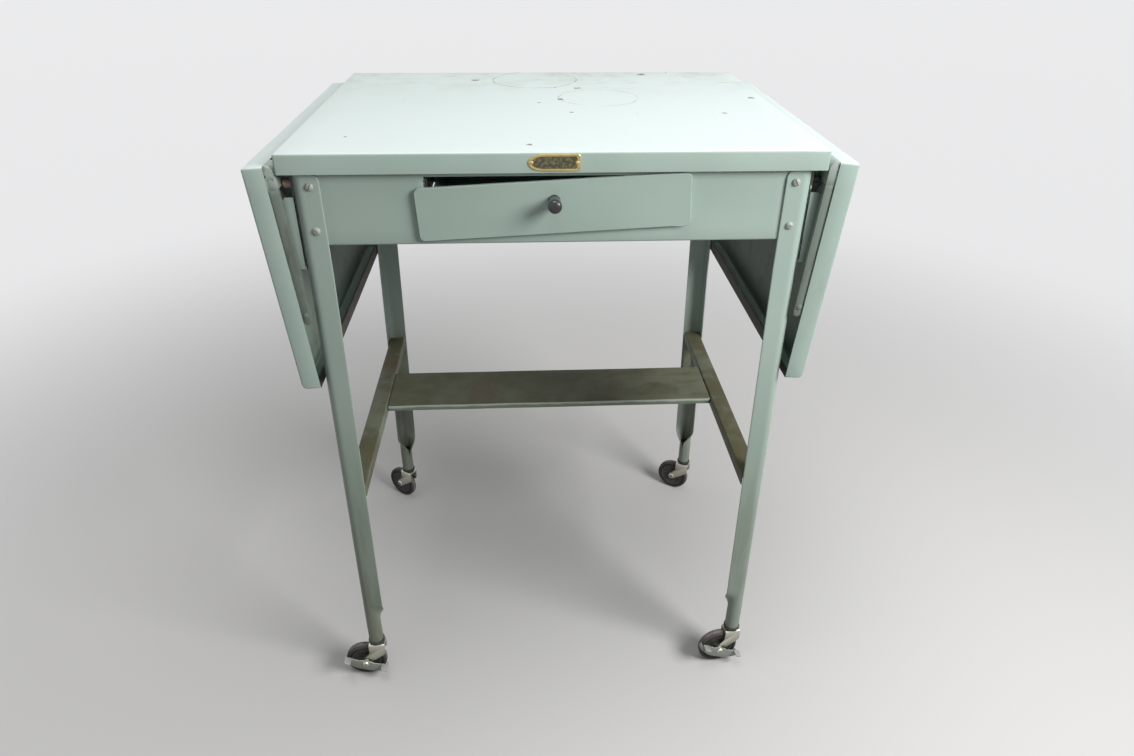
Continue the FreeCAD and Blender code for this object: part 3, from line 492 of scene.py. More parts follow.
class TablePaint(bpy.types.PropertyGroup):
    """Colours of the finishes."""

    enamel: colour_prop("Enamel", "Pale green stoved enamel", (0.385, 0.490, 0.430))
    # The faded colour is random paler enamel, and also paints highlights on the arms and along the
    # shelf's lip.
    faded_and_highlight: colour_prop("Faded enamel", "Enamel where light has bleached it", (0.50, 0.585, 0.53))
    # Painted light: this colour stands for enamel lit from above, on the top, the leaves' upward
    # faces and the backs of the rear legs.
    lit: colour_prop("Bleached enamel", "Enamel on the sunlit top", (0.68, 0.765, 0.745))
    # The grime colour is an olive film, and also paints shade on the left front faces.
    grime_and_shade: colour_prop("Grime", "Olive film of old oil and dust", (0.062, 0.066, 0.036))
    # The greasy film is dirt, and also paints shade low on the legs.
    olive_and_shade: colour_prop("Olive film", "Greasy dirt on the legs, rails and shelf",
                       (0.094, 0.092, 0.042))
    rust: colour_prop("Rust", "Rust on bare steel", (0.110, 0.046, 0.020))
    stain: colour_prop("Stain", "Brown drink and glue marks", (0.27, 0.235, 0.15))
    primer: colour_prop("Primer", "Dark steel that shows in chips", (0.075, 0.068, 0.060))
    dust: colour_prop("Dust", "Pale dust in scratches and flaked spots", (0.30, 0.30, 0.25))
    # Painted shade: a dark enamel standing for the shade in the leaves' hollow backs.
    shaded: colour_prop("Shaded enamel", "Dull enamel in the leaves' hollow backs",
                        (0.135, 0.165, 0.130))
    scale: colour_prop("Scale", "Dark rust on the leaves' lips and arms", (0.052, 0.042, 0.030))
    tan: colour_prop("Worn lip", "Bare primer where the lips rub", (0.40, 0.335, 0.27))
    steel: colour_prop("Steel", "Dull zinc plate", (0.38, 0.375, 0.35))
    nickel: colour_prop("Nickel", "Worn nickel plate", (0.60, 0.585, 0.51))
    brass: colour_prop("Brass", "Sheet brass", (0.62, 0.47, 0.20))
    rubber: colour_prop("Rubber", "Hard dark rubber", (0.018, 0.016, 0.018))


class TableSizes(bpy.types.PropertyGroup):
    """Sizes of the pressings and of their wear."""

    fold: length_prop("Fold radius", "Outer radius of the pressed folds", 2.0)
    soft_fold: length_prop("Soft fold radius", "Outer radius at the leaves' outer edges", 5.0)
    rim: length_prop("Rim", "Rounding of the sheets' cut edges", 0.25)
    buckle: length_prop("Buckle", "How far the large sheets are out of flat", 0.5)
    pitch: length_prop("Mesh pitch", "Spacing of the edge loops in large sheets", 24.0)


def paint():
    return bpy.context.scene.table_paint


def size(name):
    """One of the table's sizes, in millimetres."""
    return getattr(bpy.context.scene.table_sizes, name) / MM


# ---- Finishes ----

def once(make):
    """Makes each finish the first time it is asked for, and keeps it."""
    made = {}

    def get(*key):
        if key not in made:
            made[key] = make(*key)
        return made[key]
    return get


def enamel_base(finish):
    """Slightly uneven stoved enamel: its colour, roughness and orange-peel height."""
    colours = paint()
    cloud = finish.noise(0.22, 3.0)
    colour = finish.blend(colours.enamel, colours.faded_and_highlight, cloud.above(0.42, 0.62) * 0.35)
    film = finish.noise(0.035, 5.0, 0.6, (1, 1, 0.35))
    colour = finish.blend(colour, colours.grime_and_shade, film.above(0.60, 0.80) * 0.16)
    peel = finish.noise(0.0016, 2.0) * 0.35
    roughness = 0.36 + film * 0.14
    return colour, roughness, peel


def chips(finish, amount):
    """Mask of small chips, thickest along worn edges."""
    edge = finish.worn_edge(0.52, 0.60)
    ragged = finish.noise(0.009, 5.0, 0.65)
    worn = (edge * ragged).above(0.50 - amount * 0.08, 0.56 - amount * 0.08)
    flecks = finish.specks(0.045, 0.035 * amount) * finish.noise(0.2, 2.0).above(0.50, 0.56)
    return worn.most(flecks)


@once
def enamel(amount):
    """Enamel of the aprons, legs, brackets and drawer; amount says how chipped it is."""
    colours = paint()
    finish = Finish(f"enamel_{int(amount * 10)}")
    colour, roughness, peel = enamel_base(finish)
    # Painted shade: front faces towards the left are darkened with the grime colour, standing for
    # the weaker light on that side.
    ahead = 1 - finish.facing(1).above(-0.9, -0.4)
    painted_shade_left = 1 - finish.axis(0).above(MID_X - 0.26, MID_X + 0.10)
    colour = finish.blend(colour, colours.grime_and_shade, ahead * painted_shade_left * 0.16)
    # Painted light: faces towards the back, as on the rear legs, are lightened with the lit top's
    # colour.
    rear = finish.axis(1).above(MID_Y + 0.05, MID_Y + 0.15)
    colour = finish.blend(colour, colours.lit, rear * 0.22)
    # Darker towards the floor: partly greasy dirt, partly painted shade where the light falls off
    # lower down; a little less towards the right, as painted light on the brighter side.
    low = 1 - finish.axis(2).above(0.05, 0.56)
    drips = finish.noise(0.02, 4.0, 0.6, (1, 1, 0.12)).above(0.40, 0.66)
    shade = finish.axis(0).above(MID_X - 0.25, MID_X + 0.25)
    colour = finish.blend(colour, colours.olive_and_shade, low * (0.56 + drips * 0.24 - shade * 0.06))
    bare = chips(finish, amount)
    colour = finish.blend(colour, colours.primer, bare)
    return finish.close(colour, roughness + bare * 0.25, bare * 0.3, height=peel - bare * 0.9)


@once
def top_enamel():
    """The top: painted light on its upper face, strongest in front and to the right, with rings,
    brown spots and worn edges towards the back.
    """
    colours = paint()
    finish = Finish("top_enamel")
    colour, roughness, peel = enamel_base(finish)
    x, y = MID_X, MID_Y
    up = finish.facing(2).above(0.6, 0.9)
    back = finish.axis(1).above(y + 0.03, y + 0.18)
    # Painted light: the upward faces are lightened with the lit colour, more in front and to the
    # right.
    painted_light_slope = finish.axis(0) * 0.5 - finish.axis(1) + finish.noise(0.12, 2.0) * 0.1
    painted_light_share = painted_light_slope.above(-0.25, 0.22) * 0.25 + 0.70
    colour = finish.blend(colour, colours.lit, painted_light_share * up)
    patchy = finish.noise(0.05, 5.0, 0.65)
    dirt = back * patchy.above(0.42, 0.72) * 0.32 * up
    colour = finish.blend(colour, colours.stain, dirt)
    rings = finish.ring((x - 0.0125, y + 0.1405), 0.050, 0.0011)
    rings = rings.most(finish.ring((x + 0.056, y + 0.036), 0.044, 0.0010) * 0.7)
    rings = rings * finish.noise(0.018, 3.0).above(0.36, 0.58)
    line = finish.axis(1) - (y + 0.119) + (finish.noise(0.06, 3.0) - 0.5) * 0.012
    line = (1 - line.math("ABSOLUTE").above(0.0005, 0.0016))
    line = line * finish.axis(0).above(x + 0.03, x + 0.09) * patchy.above(0.40, 0.55)
    marks = rings.most(line * 0.75)
    spots = ((-0.084, 0.140, 0.0055), (0.013, 0.027, 0.0042), (0.123, 0.174, 0.0060),
             (0.022, -0.037, 0.0022), (-0.023, -0.164, 0.0034), (0.179, -0.044, 0.0024),
             (-0.189, -0.132, 0.0018), (0.226, 0.030, 0.0045), (-0.010, 0.010, 0.0022),
             (0.036, 0.088, 0.0040), (0.156, 0.186, 0.0018), (0.010, 0.092, 0.0022))
    dots = None
    for across, deep, radius in spots:
        dot = finish.spot((x + across, y + deep), radius)
        dots = dot if dots is None else dots.most(dot)
    colour = finish.blend(colour, colours.stain, marks * 0.85 * up)
    colour = finish.blend(colour, colours.rust, dots * up * 0.75)
    scratch = finish.noise(0.0030, 2.0, 0.5, (1, 0.04, 1)).above(0.70, 0.76) * up * 0.12
    colour = finish.blend(colour, colours.dust, scratch)
    bare = chips(finish, 0.6)
    colour = finish.blend(colour, colours.primer, bare * 0.8)
    return finish.close(colour, roughness + dots * 0.3 + dirt * 0.3, bare * 0.2,
                        height=peel - bare * 0.8 + dots * 0.4)


@once
def leaf_enamel(side):
    """A leaf: enamel outside, painted shade in its hollow back, with a worn and rusty turned-in
    lip.
    """
    colours = paint()
    finish = Finish("leaf_enamel_" + ("left" if side < 0 else "right"))
    colour, roughness, peel = enamel_base(finish)
    height = finish.axis(2)
    # Painted light: upward faces high on the leaf are lightened with the lit colour.
    up = finish.facing(2).above(0.6, 0.9) * height.above(0.60, 0.62)
    colour = finish.blend(colour, colours.lit, up * 0.8)
    # Painted shade: faces turned towards the table take the dark shaded colour.
    inward = (finish.facing(0) * -side).above(0.3, 0.8)
    colour = finish.blend(colour, colours.shaded, inward * 0.85)
    smears = finish.noise(0.03, 5.0, 0.65).above(0.5, 0.7) * inward
    colour = finish.blend(colour, colours.grime_and_shade, smears * 0.5)
    ragged = (finish.noise(0.02, 4.0, 0.6) - 0.5) * 0.008
    across = (finish.axis(0) - MID_X) * side
    edge = (PIVOT.x - 9.0) * MM
    end = finish.facing(1).math("ABSOLUTE").above(0.4, 0.7)
    lip = (1 - across.above(edge, edge + 0.003)) * (1 - height.above(0.470, 0.472)) * (1 - end)
    patch = finish.noise(0.025, 5.0, 0.65, (1, 0.4, 1)).above(0.34, 0.48)
    if side > 0:
        worn = (height + ragged * 0.6).above(0.4540, 0.4565) * patch
        colour = finish.blend(colour, colours.scale, lip * 0.9)
        colour = finish.blend(colour, colours.tan, lip * worn * 0.9)
    else:
        colour = finish.blend(colour, colours.scale, lip * (0.65 + patch * 0.3))
    bare = chips(finish, 1.2)
    colour = finish.blend(colour, colours.rust, bare)
    wear = (bare + lip * 0.6).clip()
    return finish.close(colour, roughness + inward * 0.2 + wear * 0.2, bare * 0.2,
                        height=peel - wear * 0.9)


@once
def arm_finish():
    """Support arms: grey-green enamel darkened as painted shade, with brown streaks, and painted
    highlights near the pivot and at the outer tip.
    """
    colours = paint()
    finish = Finish("arm_finish")
    colour, roughness, peel = enamel_base(finish)
    # Painted shade: the grey-green is darkened to stand for the shade under the leaves.
    colour = finish.blend(colour, (0.130, 0.155, 0.125), 0.88)
    # Painted highlight: the pivot end and the outer tip are paled with the faded colour.
    height = finish.axis(2) + (finish.noise(0.02, 3.0) - 0.5) * 0.010
    pale = height.above(0.636, 0.650).most((1 - height.above(0.502, 0.514)) * 0.6)
    colour = finish.blend(colour, colours.faded_and_highlight, pale * 0.6)
    streak = finish.noise(0.012, 5.0, 0.65, (1, 1, 0.25)).above(0.52, 0.68)
    colour = finish.blend(colour, colours.scale, streak * 0.35)
    dots = finish.noise(0.006, 5.0, 0.7).above(0.62, 0.70)
    colour = finish.blend(colour, colours.primer, dots * 0.6)
    return finish.close(colour, roughness + streak * 0.2, height=peel - dots * 0.6)


@once
def grimy_enamel(name):
    """Rails and shelf: greasy dirt over green, rust blooms, brighter folds: worn on the rails, a
    painted highlight along the top of the shelf's front lip.
    """
    colours = paint()
    finish = Finish("grimy_" + name, Specular_IOR_Level=0.35)
    colour, _, peel = enamel_base(finish)
    up = finish.facing(2).above(0.4, 0.9)
    film = finish.noise(0.055, 5.0, 0.62)
    coat = (0.78 + up * 0.14) * (0.90 + film.above(0.35, 0.65) * 0.16)
    colour = finish.blend(colour, colours.olive_and_shade, coat)
    streak = finish.noise(0.07, 5.0, 0.6, (1, 0.45, 1)).above(0.50, 0.68) * (0.25 + up * 0.75)
    colour = finish.blend(colour, colours.rust, streak * 0.45)
    if name == "shelf":
        pale = finish.axis(0) + (finish.noise(0.09, 4.0) - 0.5) * 0.3
        pale = pale.above(0.02, 0.17) * finish.noise(0.03, 4.0, 0.6, (0.5, 1, 1)).above(0.34, 0.56)
        colour = finish.blend(colour, (0.060, 0.058, 0.026), (1 - pale) * up * 0.40)
        colour = finish.blend(colour, (0.175, 0.175, 0.115), pale * up * 0.65)
        # Painted highlight: a pale line along the top of the shelf's front lip.
        lip = finish.axis(2) + (finish.noise(0.03, 4.0) - 0.5) * 0.006
        wear_and_highlight = lip.above(0.2995, 0.3010) * (1 - up) * 0.8
        colour = finish.blend(colour, (0.20, 0.235, 0.165), (1 - up) * 0.55)
    else:
        colour = finish.blend(colour, (0.085, 0.062, 0.030), film.above(0.42, 0.60) * 0.45)
        edge = finish.worn_edge(0.54, 0.60)
        wear_and_highlight = edge * finish.noise(0.03, 4.0).above(0.46, 0.60) * 0.25
    colour = finish.blend(colour, colours.faded_and_highlight, wear_and_highlight * 0.8)
    flakes = finish.specks(0.02, 0.05) * film.above(0.5, 0.6)
    colour = finish.blend(colour, colours.dust, flakes * 0.6)
    return finish.close(colour, 0.52 + film * 0.2, height=peel + streak * 0.6 - flakes * 0.5,
                        depth=0.0003)


@once
def painted_screws():
    """Screw heads painted over with the legs, their edges worn."""
    finish = Finish("painted_screws")
    colour, patch = finish.mottled((0.40, 0.44, 0.38), paint().stain, 0.003, 0.50, 0.70, 0.5)
    edge = finish.worn_edge(0.53, 0.60)
    colour = finish.blend(colour, paint().steel, edge * 0.5)
    return finish.close(colour, 0.40 + patch * 0.2, edge * 0.4,
                        height=finish.noise(0.0012, 2.0) * 0.3)


@once
def dull_steel(name):
    """Zinc-plated rivets, pins and small fittings with a little brown in them."""
    finish = Finish("steel_" + name, Metallic=1.0)
    colour, tarnish = finish.mottled(paint().steel, paint().stain, 0.004, 0.45, 0.70, 0.6)
    return finish.close(colour, 0.40 + tarnish * 0.25, height=finish.noise(0.0008, 2.0) * 0.3)


@once
def rusty_steel():
    """The left latch bolt and the springs, which have lost their plating."""
    finish = Finish("rusty_steel")
    bloom = finish.noise(0.003, 5.0, 0.7)
    colour = finish.blend((0.60, 0.41, 0.33), paint().rust, bloom.above(0.52, 0.68) * 0.8)
    return finish.close(colour, 0.7 + bloom * 0.2, 1 - bloom.above(0.30, 0.50), height=bloom)


@once
def nickel_plate():
    """Caster forks: plate gone grey-brown, still bright on the folds."""
    finish = Finish("nickel_plate", Metallic=1.0)
    colour, haze = finish.mottled((0.25, 0.245, 0.20), paint().stain, 0.010, 0.46, 0.70, 0.5)
    edge = finish.worn_edge(0.515, 0.57)
    colour = finish.blend(colour, paint().nickel, edge)
    return finish.close(colour, 0.36 + haze * 0.20 - edge * 0.12,
                        height=finish.noise(0.0010, 3.0) * 0.25)


@once
def rocker_paint():
    """Brake rockers: thin grey-green paint, paler on the pads and edges: painted light on the pads'
    upward faces and wear on the edges.
    """
    finish = Finish("rocker_paint")
    colour, haze = finish.mottled((0.235, 0.265, 0.235), paint().stain, 0.006, 0.50, 0.72, 0.4)
    # Paler on upward faces and edges: painted light on the pads' tops, wear on the edges.
    wear_and_highlight = finish.facing(2).above(0.5, 0.9).most(finish.worn_edge(0.52, 0.58))
    colour = finish.blend(colour, (0.46, 0.48, 0.44), wear_and_highlight * 0.7)
    return finish.close(colour, 0.38 + haze * 0.2, wear_and_highlight * 0.3,
                        height=finish.noise(0.0010, 3.0) * 0.25)


@once
def brass_plate():
    """Thin stamped brass with browner patches."""
    finish = Finish("brass_plate", Metallic=1.0)
    colour, haze = finish.mottled(paint().brass, (0.33, 0.25, 0.12), 0.006, 0.45, 0.70, 0.6)
    return finish.close(colour, 0.24 + haze * 0.2, height=finish.noise(0.0012, 3.0) * 0.3)


@once
def badge_enamel():
    """The dark field in the middle of the badge."""
    finish = Finish("badge_enamel")
    colour, haze = finish.mottled((0.055, 0.058, 0.032), (0.20, 0.175, 0.085), 0.003, 0.42, 0.64)
    return finish.close(colour, 0.3 + haze * 0.15, height=haze * 0.3)


@once
def black_moulding():
    """The knob: glossy black with fine handling marks."""
    finish = Finish("black_moulding", Coat_Weight=0.4, Coat_Roughness=0.12)
    colour, haze = finish.mottled((0.010, 0.010, 0.011), (0.035, 0.032, 0.030), 0.004, 0.5, 0.7)
    return finish.close(colour, 0.22 + haze * 0.2, height=finish.noise(0.0007, 2.0) * 0.2)


@once
def tyre_rubber():
    """Tyres: near black on their flat sides, dusty brown-grey on the shoulders."""
    finish = Finish("tyre_rubber", Specular_IOR_Level=0.2)
    grit = finish.noise(0.004, 5.0, 0.65)
    dusty = (finish.worn_edge(0.505, 0.55) * 0.6 + grit.above(0.52, 0.68) * 0.12).clip()
    colour = finish.blend(paint().rubber, (0.15, 0.135, 0.122), dusty)
    return finish.close(colour, 0.48 + grit * 0.25, height=grit)


@once
def tread_rubber():
    """The dusty running band of a tyre."""
    finish = Finish("tread_rubber", Specular_IOR_Level=0.3)
    grit = finish.noise(0.005, 5.0, 0.65)
    colour = finish.blend((0.13, 0.118, 0.106), (0.26, 0.235, 0.212), grit.above(0.36, 0.62))
    return finish.close(colour, 0.70 + grit * 0.2, height=grit, depth=0.0004)


@once
def dark_steel():
    """Oiled, blackened steel: the sockets, the wheels' hubs and the right latch bolt."""
    finish = Finish("dark_steel")
    colour, grit = finish.mottled((0.020, 0.022, 0.020), (0.075, 0.075, 0.062), 0.004, 0.46, 0.70)
    return finish.close(colour, 0.42 + grit * 0.25, height=grit * 0.4)


# ---- Shapes ----

def point_out(bm, direction):
    """Makes faces agree, with the ones that look most along direction looking outwards."""
    bmesh.ops.recalc_face_normals(bm, faces=bm.faces)
    bm.normal_update()
    direction = Vector(direction)
    furthest = max(bm.faces, key=lambda f: f.calc_center_median().dot(direction)
                   + abs(f.normal.dot(direction)) * 5)
    if furthest.normal.dot(direction) < 0:
        bmesh.ops.reverse_faces(bm, faces=bm.faces)
    return bm


def folded_pan(low, high, radius, pitch):
    """Sheet pan open below, outer surface only, with a mesh fine enough to buckle."""
    bm = block(low, high)
    slice_planes(bm, X, steps(low[0], high[0], pitch))
    slice_planes(bm, Y, steps(low[1], high[1], pitch))
    open_faces(bm, -Z)
    return bevel(bm, folds(bm), radius, 4)


def arc(cx, cz, radius, start, end, count):
    """Points of an arc in degrees, counted from +X towards +Z."""
    spread = [start + (end - start) * k / count for k in range(count + 1)]
    return [(cx + radius * math.cos(math.radians(a)), cz + radius * math.sin(math.radians(a)))
            for a in spread]


def plate(outline, y0, y1, rim):
    """A flat plate from its outline in X and Z, with softened cut edges."""
    bm = bmesh.new()
    face = bm.faces.new([bm.verts.new((x, y0, z)) for x, z in outline])
    bmesh.ops.translate(bm, vec=(0, y1 - y0, 0), verts=extruded(bm, [face]))
    bmesh.ops.recalc_face_normals(bm, faces=bm.faces)
    if rim:
        edges = [e for e in bm.edges if abs(e.verts[0].co.y - e.verts[1].co.y) < 1e-6]
        bevel(bm, edges, rim, 2)
    return bm


def corner_spots(extent, radius, ends):
    """Places of round heads at a box's corners in X and Z, at each (y, direction) of ends."""
    return [((x, y, z), along) for x in (extent.x0 + radius, extent.x1 - radius)
            for z in (extent.z0 + radius, extent.z1 - radius) for y, along in ends]


def slotted_head(radius, height, angle):
    """A round screw head standing on z = 0, its slot turned by angle."""
    half_slot, slot_floor = 0.5, height * 0.45
    bm = lathe(dome(radius, height), 32)
    slice_planes(bm, X, (-half_slot, half_slot))
    bm.normal_update()
    strip = [f for f in bm.faces if abs(f.calc_center_median().x) < half_slot
             and f.calc_center_median().z > height * 0.3]
    verts = extruded(bm, strip)
    bmesh.ops.delete(bm, geom=strip, context="FACES_ONLY")
    for vert in verts:
        vert.co.z = min(vert.co.z, slot_floor)
    bmesh.ops.recalc_face_normals(bm, faces=bm.faces)
    return turn(bm, angle, (0, 0, 0), Z)


# ---- Top, badge and aprons ----

def build_top():
    low, high = TOP.low, TOP.high
    bm = folded_pan(low, high, size("fold"), size("pitch"))
    hem, flat_from = 4.0, 6.0
    shrink = (1 - 2 * hem / (high.x - low.x), 1 - 2 * hem / (high.y - low.y), 1)
    turn_rim(bm, rims(bm), scale=shrink, centre=MIDDLE)

    def on_sheet(vert):
        inside = min(vert.co.x - low.x, high.x - vert.co.x, vert.co.y - low.y, high.y - vert.co.y)
        return vert.co.z > high.z - 0.5 and inside > flat_from
    buckle(bm, size("buckle"), 170.0, 3.0, on_sheet)
    finish_piece(bm, "top_pressing", "frame", top_enamel(), ["table_top"],
                 sheet=SHEET, rim=size("rim"))


def badge_outline(half_length, half_height, nose, corner):
    """Outline of the badge: a long half-oval at the left, a square end at the right."""
    count = 20
    outline = []
    for k in range(count + 1):
        around = math.radians(90 + 180 * k / count)
        outline.append((nose - half_length + nose * math.cos(around),
                        half_height * math.sin(around)))
    outline += arc(half_length - corner, corner - half_height, corner, 270, 360, 6)
    return outline + arc(half_length - corner, half_height - corner, corner, 0, 90, 6)


def build_badge():
    """Plain badge: a stamped border round a dark field, and the heads of two pins."""
    extent = Extent("badge_plate")
    middle, half = extent.middle, (extent.high - extent.low) / 2
    crest, sunk, pin = 0.25, 0.3, 1.7
    bm = plate(badge_outline(half.x, half.z, 13.0, 2.4), extent.y1, extent.y0 + crest, 0)
    front = foremost(bm)
    bmesh.ops.inset_individual(bm, faces=[front], thickness=0.35)
    bmesh.ops.translate(bm, vec=(0, -crest, 0), verts=front.verts)
    bmesh.ops.inset_individual(bm, faces=[front], thickness=0.9)
    bmesh.ops.inset_individual(bm, faces=[front], thickness=0.25)
    bmesh.ops.translate(bm, vec=(0, sunk, 0), verts=front.verts)
    move(bm, (middle.x, 0, middle.z))
    finish_piece(bm, "badge_pressing", "frame", brass_plate(), ["badge_plate"])

    field = plate(badge_outline(half.x - 2.6, half.z - 2.0, 11.0, 1.8), -0.5, 0, 0)
    bmesh.ops.inset_individual(field, faces=[foremost(field)], thickness=0.3)
    move(field, (middle.x, extent.y0 + 0.45, middle.z))
    finish_piece(field, "badge_field", "frame", badge_enamel())

    pins = Extent("badge_pins")
    heads = []
    for x in (pins.x0 + pin, pins.x1 - pin):
        heads.append(stand(lathe(dome(pin, 0.7, 0.6), 24), (x, pins.y0 + 0.7, middle.z), -Y))
    finish_piece(merged(*heads), "badge_pin_heads", "frame", brass_plate(),
                 ["badge_pins"])


OPENING_HALF = 116.5                        # the drawer's opening in the front apron
OPENING_BOTTOM, OPENING_TOP = 603.0, 651.0


def apron_wall(node, seed):
    """A C-shaped apron: wall with flanges turned inward at top and bottom."""
    extent = Extent(node)
    low, high = extent.low, extent.high
    along, across = (X, Y) if high.x - low.x > high.y - low.y else (Y, X)
    outward = across if (extent.middle - MIDDLE).dot(across) > 0 else -across
    bm = block(low, high)
    slice_planes(bm, along, steps(low.dot(along), high.dot(along), size("pitch")))
    slice_planes(bm, Z, steps(low.z, high.z, size("pitch")))
    if node == "apron_front":
        slice_planes(bm, X, [MIDDLE.x - OPENING_HALF, MIDDLE.x + OPENING_HALF])
        slice_planes(bm, Z, [OPENING_BOTTOM, OPENING_TOP])
    open_faces(bm, -outward, along, -along)
    if node == "apron_front":
        hole = [f for f in bm.faces if f.normal.dot(outward) > 0.9
                and abs(f.calc_center_median().x - MIDDLE.x) < OPENING_HALF
                and OPENING_BOTTOM < f.calc_center_median().z < OPENING_TOP]
        bmesh.ops.delete(bm, geom=hole, context="FACES")
    bevel(bm, folds(bm), 2.0, 3)
    flat_from, flat_to = low.z + 5, high.z - 22

    def on_wall(vert):
        return vert.normal.dot(outward) > 0.99 and flat_from < vert.co.z < flat_to
    return buckle(bm, size("buckle") * 0.7, 120.0, seed, on_wall)


def build_aprons():
    for seed, node in enumerate(("apron_front", "apron_rear", "apron_left", "apron_right")):
        finish_piece(apron_wall(node, 5.0 + seed), node + "_pressing", "frame",
                     enamel(0.6), [node], sheet=SHEET, rim=size("rim"))


# ---- Legs ----

LEG_BEND = 560.0
SPLAY = {"front": 7.0, "rear": 9.0}         # how far a leg leans out below the bend
SPLAY_END = 92.0
TUBE_RADIUS = 8.8
TUBE_BOTTOM = 61.5
SEAM_TOP = 80.0                             # the tube is closed below this height
NARROWING = 128.0                           # and the angle section is whole above this one
LEG_TOP = 654.0
LEG_ROUNDING = 6.0                          # radius of the corners at a leg's top
LEG_CORNER = 229.3                          # a right leg's outer corner from the middle
LEG_FLANGE = 24.0
HALF_SHEET = LEG_FLANGE - TUBE_RADIUS + TUBE_RADIUS * math.pi / 4    # from corner to edge
CLOSED_TURN = math.pi * 0.995               # each edge's turn in the tube; a fine seam stays


def ease(value):
    value = min(1.0, max(0.0, value))
    return value * value * (3 - 2 * value)


def leg_point(s, z, splay):
    """Outer surface of a right front leg, corner at the origin: s runs from edge to edge."""
    closed = ease((NARROWING - z) / (NARROWING - SEAM_TOP))
    reach = HALF_SHEET + (math.pi * TUBE_RADIUS - HALF_SHEET) * closed
    half_turn = math.pi / 4 + (CLOSED_TURN - math.pi / 4) * closed
    run = abs(s) * reach
    bent = min(run, half_turn * TUBE_RADIUS)
    angle = bent / TUBE_RADIUS
    straight = run - bent
    sign = 1 if s > 0 else -1
    outward = math.radians(-45) + sign * angle
    x = -TUBE_RADIUS + TUBE_RADIUS * math.cos(outward) - sign * straight * math.sin(outward)
    y = TUBE_RADIUS + TUBE_RADIUS * math.sin(outward) + sign * straight * math.cos(outward)
    shift = splay * min(1.0, max(0.0, (LEG_BEND - z) / (LEG_BEND - SPLAY_END)))
    return x + shift, y


def leg_mesh(where):
    """The right-hand leg, its corner at x = 0, y = 0, with flanges towards -X and +Y."""
    heights = [TUBE_BOTTOM, 65, 69, 73, 76, 79] + [82 + 4 * k for k in range(13)]
    heights += [138, 150, 170] + [200 + 40 * k for k in range(9)]
    heights += [545, 556, LEG_BEND, 564, 575, 600, 630]
    heights += [LEG_TOP - 6, LEG_TOP - 4, LEG_TOP - 2, LEG_TOP - 0.8, LEG_TOP]
    rows = len(heights) - 1
    round_from = LEG_TOP - LEG_ROUNDING
    bm = bmesh.new()
    bmesh.ops.create_grid(bm, x_segments=28, y_segments=rows, size=1.0)
    for vert in bm.verts:
        z = heights[round((vert.co.y + 1) / 2 * rows)]
        drop = math.sqrt(max(0.0, LEG_ROUNDING ** 2 - max(0.0, z - round_from) ** 2))
        limit = 1 - (LEG_ROUNDING - drop) / HALF_SHEET
        x, y = leg_point(vert.co.x * limit, z, SPLAY[where])
        vert.co = (x, y, z)
    return point_out(bm, (1, -1, 0))


def build_legs():
    for corner in CORNERS:
        where, side = corner.split("_")
        extent = Extent("leg_" + corner)
        bm = move(leg_mesh(where), (MIDDLE.x + LEG_CORNER, 0, 0))
        if where == "rear":
            bm = flipped(move(bm, (0, -extent.y1, 0)))
        else:
            move(bm, (0, extent.y0, 0))
        if side == "left":
            bm = mirrored(bm)
        finish_piece(bm, f"leg_{corner}_pressing", "frame",
                     enamel(0.9 if where == "front" else 1.6), [f"leg_{corner}"],
                     sheet=LEG_SHEET, rim=0.3)


def build_leg_screws():
    """Slotted heads on the legs' outer faces, each turned its own way."""
    extent = Extent("leg_screws")
    radius, high = 3.65, 2.2
    spots = corner_spots(extent, radius, ((extent.y0 + high, -Y), (extent.y1 - high, Y)))
    turns = (35, 70, -20, 12, 80, -50, 25, 60)
    heads = [stand(slotted_head(radius, high, angle), *spot) for angle, spot in zip(turns, spots)]
    finish_piece(merged(*heads), "leg_screw_heads", "frame", painted_screws(),
                 ["leg_screws"])


# ---- Rails and shelf ----

def build_rail(side):
    """One channel, open below, and the tabs that turn down its ends onto the legs."""
    extent = Extent("stretcher_" + side)
    width, underside, tab_top, tab_long, end_gap = 21.0, 291.0, 303.0, 12.0, 8.15
    right = side == "right"
    x0 = extent.x0 if right else extent.x1 - width
    y0, y1 = extent.y0 + end_gap, extent.y1 - end_gap
    channel = block((x0, y0, underside), (x0 + width, y1, extent.z1))
    slice_planes(channel, Y, steps(y0, y1, size("pitch") * 0.8))
    open_faces(channel, -Z, Y, -Y)
    bevel(channel, folds(channel), size("fold"), 4)
    buckle(channel, 0.45, 60.0, 17.0 if right else 11.0)
    finish_piece(channel, f"rail_{side}_channel", "frame",
                 grimy_enamel("rail_" + side), ["stretcher_" + side], sheet=SHEET, rim=0.3)

    tab0, tab1 = (1.0, 12.7) if right else (8.3, 20.0)
    tabs = []
    for face, inward in ((extent.y0, 1), (extent.y1, -1)):
        bm = block((x0 + tab0, face, extent.z0), (x0 + tab1, face + inward * tab_long, tab_top))
        open_faces(bm, -Z, Y * inward, X, -X)
        bevel(bm, folds(bm), 2.4, 3)
        tabs.append(point_out(bm, (0, -inward, 1)))
    finish_piece(merged(*tabs), f"rail_{side}_tabs", "frame",
                 grimy_enamel("rail_" + side), sheet=SHEET, rim=0.3)


def build_rails():
    for side in ("left", "right"):
        build_rail(side)


def build_rail_rivets():
    """Domed heads on the rails' end tabs; at the front they show on the inside only."""
    extent = Extent("stretcher_rivets")
    radius, high, grip = 3.04, 1.2, 2.85
    ends = ((extent.y0 + grip, Y), (extent.y1 - high, Y), (extent.y1 - high - grip, -Y))
    heads = [stand(lathe(dome(radius, high, 0.4), 28), *spot)
             for spot in corner_spots(extent, radius, ends)]
    finish_piece(merged(*heads), "rail_rivet_heads", "frame", dull_steel("rivets"),
                 ["stretcher_rivets"])


